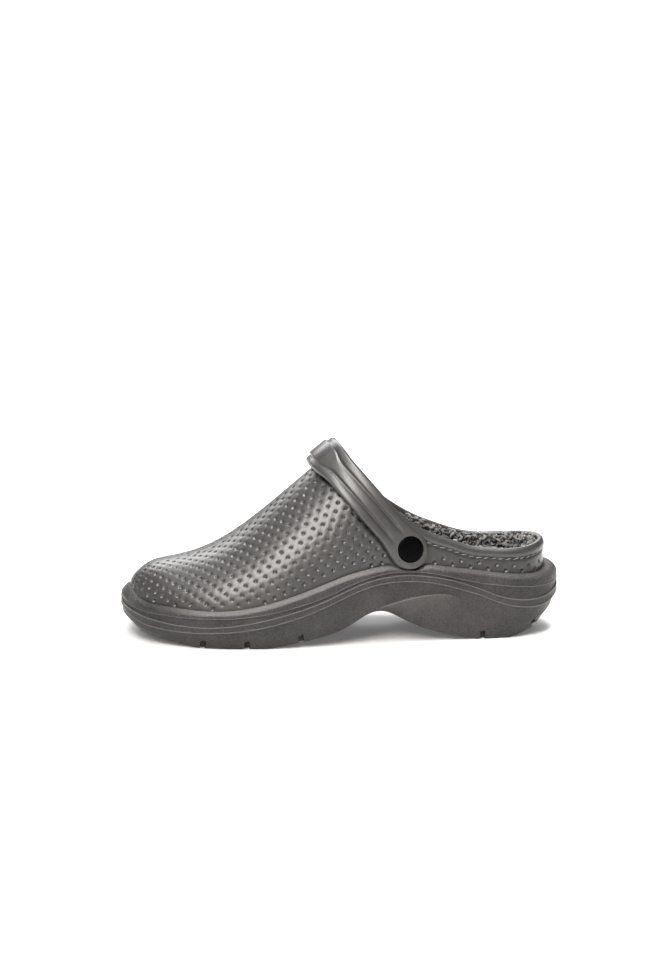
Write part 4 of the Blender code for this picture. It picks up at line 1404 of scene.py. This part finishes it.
def stitch_piece():
    lateral, lateral_out = seam_line(LATERAL)
    medial, medial_out = seam_line(MEDIAL)
    points = np.concatenate((lateral[::-1], medial[1:]))
    out = np.concatenate((lateral_out[::-1], medial_out[1:]))
    mesh = bpy.data.meshes.new("collar_stitches")
    mesh.from_pydata([tuple(p) for p in to_frame(points)], [(k, k + 1) for k in range(len(points) - 1)], [])
    attribute = mesh.attributes.new("seam_out", "FLOAT_VECTOR", "POINT")
    attribute.data.foreach_set("vector", out.astype(np.float32).ravel())
    obj = linked("collar_stitches", mesh)
    stitch = stitch_mesh()
    grow(obj, stitch_tree(), {"Stitch": stitch, "Pitch": STITCH_PITCH * MM, "Material": THREAD})
    bpy.data.objects.remove(stitch)
    return obj


# Fleece


FLEECE_DROP = 1.2  # of the pile below the collar edge
FLEECE_PUFF = 0.4  # it stands higher on the inner side of the foot
PUFF_STATIONS = (48.0, 57.0, 76.0, 86.0)
FLEECE_BARE = 3.0  # the foam shows above it near the throat
BARE_STATIONS = (84.0, 10.0)  # where that starts, and over what length
FLEECE_ROLL = 0.6  # of its top edge
LUMP_HEIGHT = 1.5
TUFTS = ((0.65, 6.5), (0.5, 2.8))  # share and size of the two kinds of tuft
LINING_ROWS = 22
INSOLE_STRIPS = 16
TOE_PILE = 0.25  # share of the curls in the toe, where nobody looks
LINING_FADE = (165, 30)  # where the pile gets thinner, and over what length
INSOLE_FADE = (150, 30)
PILE_SKIN = 0.8  # curls stand on this much of the insole's top
CURL_RADIUS = 1.3
CURL_TURN = 0.8 * math.tau
CURL_THREAD = 0.8
CURL_LIFT = 1.9
CURL_SUNK = 0.75
CURL_SIDES = 4
CURL_STEPS = 6
CURL_GAP = 2.0
CURL_TILT = 0.8  # radians either way
CURL_SEED = 11
FLEECE_STATIONS = column_stations(14, 32, 12, 26, 12)


def lumps(points):
    """Unevenness of the pile in tufts of two sizes, from -1 to 1."""
    return np.array([sum(share * noise.noise(Vector(p) / size) for share, size in TUFTS) for p in points])


def fleece_drop(stations, side):
    """How far the top of the lining lies below the collar edge."""
    puff = FLEECE_PUFF * plateau(stations, PUFF_STATIONS) if side == MEDIAL else 0.0
    return FLEECE_DROP + FLEECE_BARE * eased(share_past(stations, *BARE_STATIONS)) - puff


def curl_mesh():
    """One curl of pile: a thick thread that bends round nearly once, fat in the middle, with its root sunk in."""
    rings = []
    for share in np.linspace(0, 1, CURL_STEPS + 1):
        turn = share * CURL_TURN
        radius = CURL_RADIUS * (0.7 + 0.3 * share)
        lift = CURL_LIFT * math.sin(math.pi * (0.05 + 0.7 * share)) - CURL_SUNK
        thick = CURL_THREAD * (0.35 + 0.65 * math.sin(math.pi * (0.12 + 0.8 * share)))
        out = Vector((math.cos(turn), math.sin(turn), 0))
        middle = Vector((radius * math.cos(turn), radius * math.sin(turn), lift))
        turns = np.arange(CURL_SIDES) * math.tau / CURL_SIDES
        rings.append([middle + out * (thick * math.cos(t)) + Vector((0, 0, thick * math.sin(t))) for t in turns])
    obj = tube("one_curl", rings, FLEECE)
    lifts = np.array([point.z for ring in rings for point in ring])
    # How high each point stands; the fleece colour darkens towards the root by it, as painted shade in the crevices.
    point_values(obj, "curl_lift", share_past(lifts, -0.6, CURL_LIFT))
    return obj


def fleece_tree():
    """Grows curls on the pile side of a backing, each turned, sized and toned at random from a fixed seed; the tone is
    darkened by the backing's painted shade, and the backing gets none, painted near black as shade.
    """
    tree, node, given = new_tree("curly_pile", {"Curl": "Object", "Curl gap": "Float", "Seed": "Int"})
    backing = given["Geometry"]
    seed = given["Seed"]
    pile = node("GeometryNodeInputNamedAttribute", {"Name": "pile"}, data_type="FLOAT")
    spread = {"Distance Min": given["Curl gap"], "Density Max": 3.5 / (CURL_GAP * MM) ** 2, "Density Factor": pile}
    points = node(
        "GeometryNodeDistributePointsOnFaces", {"Mesh": backing, **spread, "Seed": seed}, distribute_method="POISSON"
    )
    turns = {0: (-CURL_TILT, -CURL_TILT, 0.0), 1: (CURL_TILT, CURL_TILT, math.tau), "Seed": seed}
    spin = node("FunctionNodeRandomValue", turns, data_type="FLOAT_VECTOR")
    turn = node("FunctionNodeRotateRotation", {0: points.outputs["Rotation"], 1: spin}, rotation_space="LOCAL")
    size = node("FunctionNodeRandomValue", {2: 0.7, 3: 1.35, "Seed": seed}, data_type="FLOAT")
    curl = node("GeometryNodeObjectInfo", {"Object": given["Curl"]}).outputs["Geometry"]
    curls = {"Points": points, "Instance": curl, "Rotation": turn, "Scale": size}
    placed = node("GeometryNodeInstanceOnPoints", curls)
    chance = node("FunctionNodeRandomValue", {2: 0.35, 3: 1.0, "Seed": seed}, data_type="FLOAT")
    # Painted shade from the backing darkens the random tone of each curl.
    pile_shading = node("GeometryNodeInputNamedAttribute", {"Name": "tuft_light"}, data_type="FLOAT")
    tone_and_shade = node("ShaderNodeMath", {0: chance, 1: pile_shading}, operation="MULTIPLY")
    both = node("GeometryNodeJoinGeometry")
    # The backing gets no tone at all, painted near black as the shade between the curls.
    for geometry, value, domain in ((backing, 0.0, "POINT"), (placed, tone_and_shade, "INSTANCE")):
        stored = {"Geometry": geometry, "Name": "curl_shade", "Value": value}
        wire(both, {0: node("GeometryNodeStoreNamedAttribute", stored, data_type="FLOAT", domain=domain)})
    close_tree(node, given, both)
    return tree


def lining_backing():
    """The lining as a wall inside the upper; pile grows where the foot side can be seen."""
    sheet = Welded()
    grid = wall_grid(sheet, FLEECE_STATIONS, LINING_ROWS, fleece_drop, True)
    normals = sheet.normals()
    middle = np.array(sheet.points)
    outer = middle - normals * (WALL + LINING_GAP)
    uneven = lumps(middle)
    thick = LINING + LUMP_HEIGHT * uneven
    inner = middle - normals * (WALL + LINING_GAP + thick)[:, None]
    body = shell(outer, sheet.faces, inner, sheet.faces)
    start = len(outer)
    behind = int((FLEECE_STATIONS <= THROAT + 1e-6).sum())
    for side in SIDES:
        edge = grid[side][:behind, -1]
        rows = [edge]
        for share in (0.25, 0.5, 0.75):
            roll = outer[edge] * (1 - share) + inner[edge] * share
            roll[:, 2] += FLEECE_ROLL * math.sin(math.pi * share)
            rows.append(body.add(roll))
        hem = grid[side][:, 0]
        bridge(body, [*rows, start + edge], (hem, start + hem), side)
    obj = new_object("sherpa_lining", body.points, body.faces)
    pile = np.ones(len(body.points))
    pile[:start] = 0
    pile[start : 2 * start] = 1 - (1 - TOE_PILE) * share_past(middle[:, 0] + LENGTH / 2, *LINING_FADE)
    # Painted shade: the pile is darker deeper below the collar edge and in the hollows between tufts, and the rolled
    # top edge stays light.
    light = np.full(len(body.points), 0.85)
    painted_dark_share = eased(share_past(from_collar(middle), 3, 16))
    light[: 2 * start] = np.tile((0.75 + 0.5 * uneven) * (1 - 0.65 * painted_dark_share), 2)
    point_values(obj, "pile", pile)
    point_values(obj, "tuft_light", light)
    return obj


def insole_backing():
    rims = outline(FLEECE_STATIONS)
    same = np.ones_like(rims.x)
    inset = INSOLE_INSET + INSOLE_ROUND
    rows = [(inset, INSOLE), (INSOLE_INSET, INSOLE - INSOLE_ROUND)]
    rows += [(INSOLE_INSET, GAP + INSOLE_ROUND), (inset, GAP)]
    placed = [(-far * same, line_at("bed", rims, -far * same) + rise) for far, rise in rows]
    body = ring_body(rims, placed, INSOLE_STRIPS)
    obj = outward(new_object("sherpa_insole", body.points, body.faces))
    points = np.array(body.points)
    bed = SOLE_LINE["bed"](points[:, 0] + LENGTH / 2)
    thin = (1 - TOE_PILE) * share_past(points[:, 0] + LENGTH / 2, *INSOLE_FADE)
    point_values(obj, "pile", np.where(points[:, 2] > bed + INSOLE - PILE_SKIN, 1 - thin, 0))
    # Painted shade: the insole's pile is darker, deep in the shoe, and darker still in the hollows between tufts.
    point_values(obj, "tuft_light", 0.4 + 0.25 * lumps(points))
    return obj


def fleece_pieces():
    curl = curl_mesh()
    tree = fleece_tree()
    pieces = []
    for number, backing in enumerate((lining_backing(), insole_backing())):
        values = {"Curl": curl, "Curl gap": CURL_GAP * MM, "Seed": CURL_SEED + number, "Material": FLEECE}
        pieces.append(grow(backing, tree, values))
        pieces[-1].data.shade_smooth()
    bpy.data.objects.remove(curl)
    return pieces


# Stage


CAMERA_AZIMUTH = math.radians(172)
CAMERA_ELEVATION = math.radians(11)
CAMERA_DISTANCE = 1.8
CAMERA_LENS = 111.5
VIEW_CENTRE = Vector((0, 0, 0.055))
VIEW_LEFT = 0.0089
VIEW_UP = 0.0306
FLOOR_REACH = 40.0  # metres to each side


def aimed(name, data, place, aim):
    """A camera or a light, set in place and turned to a point."""
    obj = linked(name, data)
    obj.location = place
    obj.rotation_euler = (Vector(aim) - Vector(place)).to_track_quat("-Z", "Y").to_euler()
    return obj


def add_camera():
    flat = math.cos(CAMERA_ELEVATION)
    away = Vector((math.sin(CAMERA_AZIMUTH) * flat, -math.cos(CAMERA_AZIMUTH) * flat, math.sin(CAMERA_ELEVATION)))
    right = Vector((0, 0, 1)).cross(away).normalized()
    aim = VIEW_CENTRE - right * VIEW_LEFT + away.cross(right) * VIEW_UP
    data = bpy.data.cameras.new("camera")
    data.sensor_fit = "VERTICAL"
    data.sensor_height = 36.0
    data.lens = CAMERA_LENS
    bpy.context.scene.camera = aimed("camera", data, VIEW_CENTRE + away * CAMERA_DISTANCE, aim)


def add_light(name, place, aim, size, power, colour=(1, 1, 1)):
    data = bpy.data.lights.new(name, "AREA")
    data.shape = "RECTANGLE"
    data.size, data.size_y = size
    data.energy = power
    data.color = colour
    aimed(name, data, place, aim)


def add_stage():
    """White seamless paper under soft boxes. The paper glows as well, faintly by the shoe and more further off:
    painted light that keeps it white.
    """
    material, node, shader, place = new_material("seamless_paper")
    fibre = node("ShaderNodeTexNoise", {"Vector": place, "Scale": per_mm(30), "Detail": 2.0})
    colour = node("ShaderNodeMix", {"Factor": fibre, "A": linear("#dedede"), "B": linear("#e4e4e4")}, data_type="RGBA")
    # Painted light: the paper glows, weakly by the shoe and more strongly with distance from it.
    away = node("ShaderNodeVectorMath", {0: place}, operation="LENGTH")
    glows = {"From Min": 0.15, "From Max": 1.5, "To Min": 0.12, "To Max": 0.9}
    glow = node("ShaderNodeMapRange", {"Value": away, **glows})
    wire(shader, {"Base Color": colour, "Roughness": 1.0, "Specular IOR Level": 0.0})
    wire(shader, {"Emission Color": (1, 1, 1, 1), "Emission Strength": glow})
    mesh = bpy.data.meshes.new("paper_floor")
    corners = [(x * FLOOR_REACH, y * FLOOR_REACH, 0) for x, y in ((-1, -1), (1, -1), (1, 1), (-1, 1))]
    mesh.from_pydata(corners, [], [(0, 1, 2, 3)])
    mesh.materials.append(material)
    floor = linked("paper_floor", mesh)
    world = bpy.data.worlds.new("studio")
    world.use_nodes = True
    wire(world.node_tree.nodes["Background"], {"Color": (1, 1, 1, 1), "Strength": 0.2})
    bpy.context.scene.world = world
    bpy.context.scene.view_settings.view_transform = "Standard"
    add_light("key_box", (0.5, 1.08, 1.15), (0.02, 0.0, 0.06), (0.62, 1.1), 36.5, (1.0, 0.965, 0.925))
    add_light("back_box", (0.1, -1.5, 1.0), (0.0, 0.0, 0.05), (1.4, 0.7), 16)
    add_light("top_box", (-0.3, 0.1, 1.5), (0.0, 0.0, 0.06), (0.5, 0.35), 22)
    sun = bpy.data.lights.new("overhead", "SUN")
    sun.energy = 1.3
    sun.angle = math.radians(70)
    linked("overhead", sun)


add_camera()
add_stage()

upper = upper_piece()
sole = sole_piece()
strap = strap_piece()
rivet_lateral = rivet_piece(LATERAL, "rivet_head_lateral")
rivet_medial = rivet_piece(MEDIAL, "rivet_head_medial")
stitches = stitch_piece()
lining, insole = fleece_pieces()

for piece, node, slot in (
    (upper, "upper", "upper_foam"),
    (sole, "sole", "sole_foam"),
    (strap, "strap", "upper_foam"),
    (lining, "fleece_lining", "fleece"),
    (insole, "fleece_insole", "fleece"),
    (rivet_lateral, "rivet_lateral", "rivet_plastic"),
    (rivet_medial, "rivet_medial", "rivet_plastic"),
):
    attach(piece, "root")
    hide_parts(node)
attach(stitches, "root")
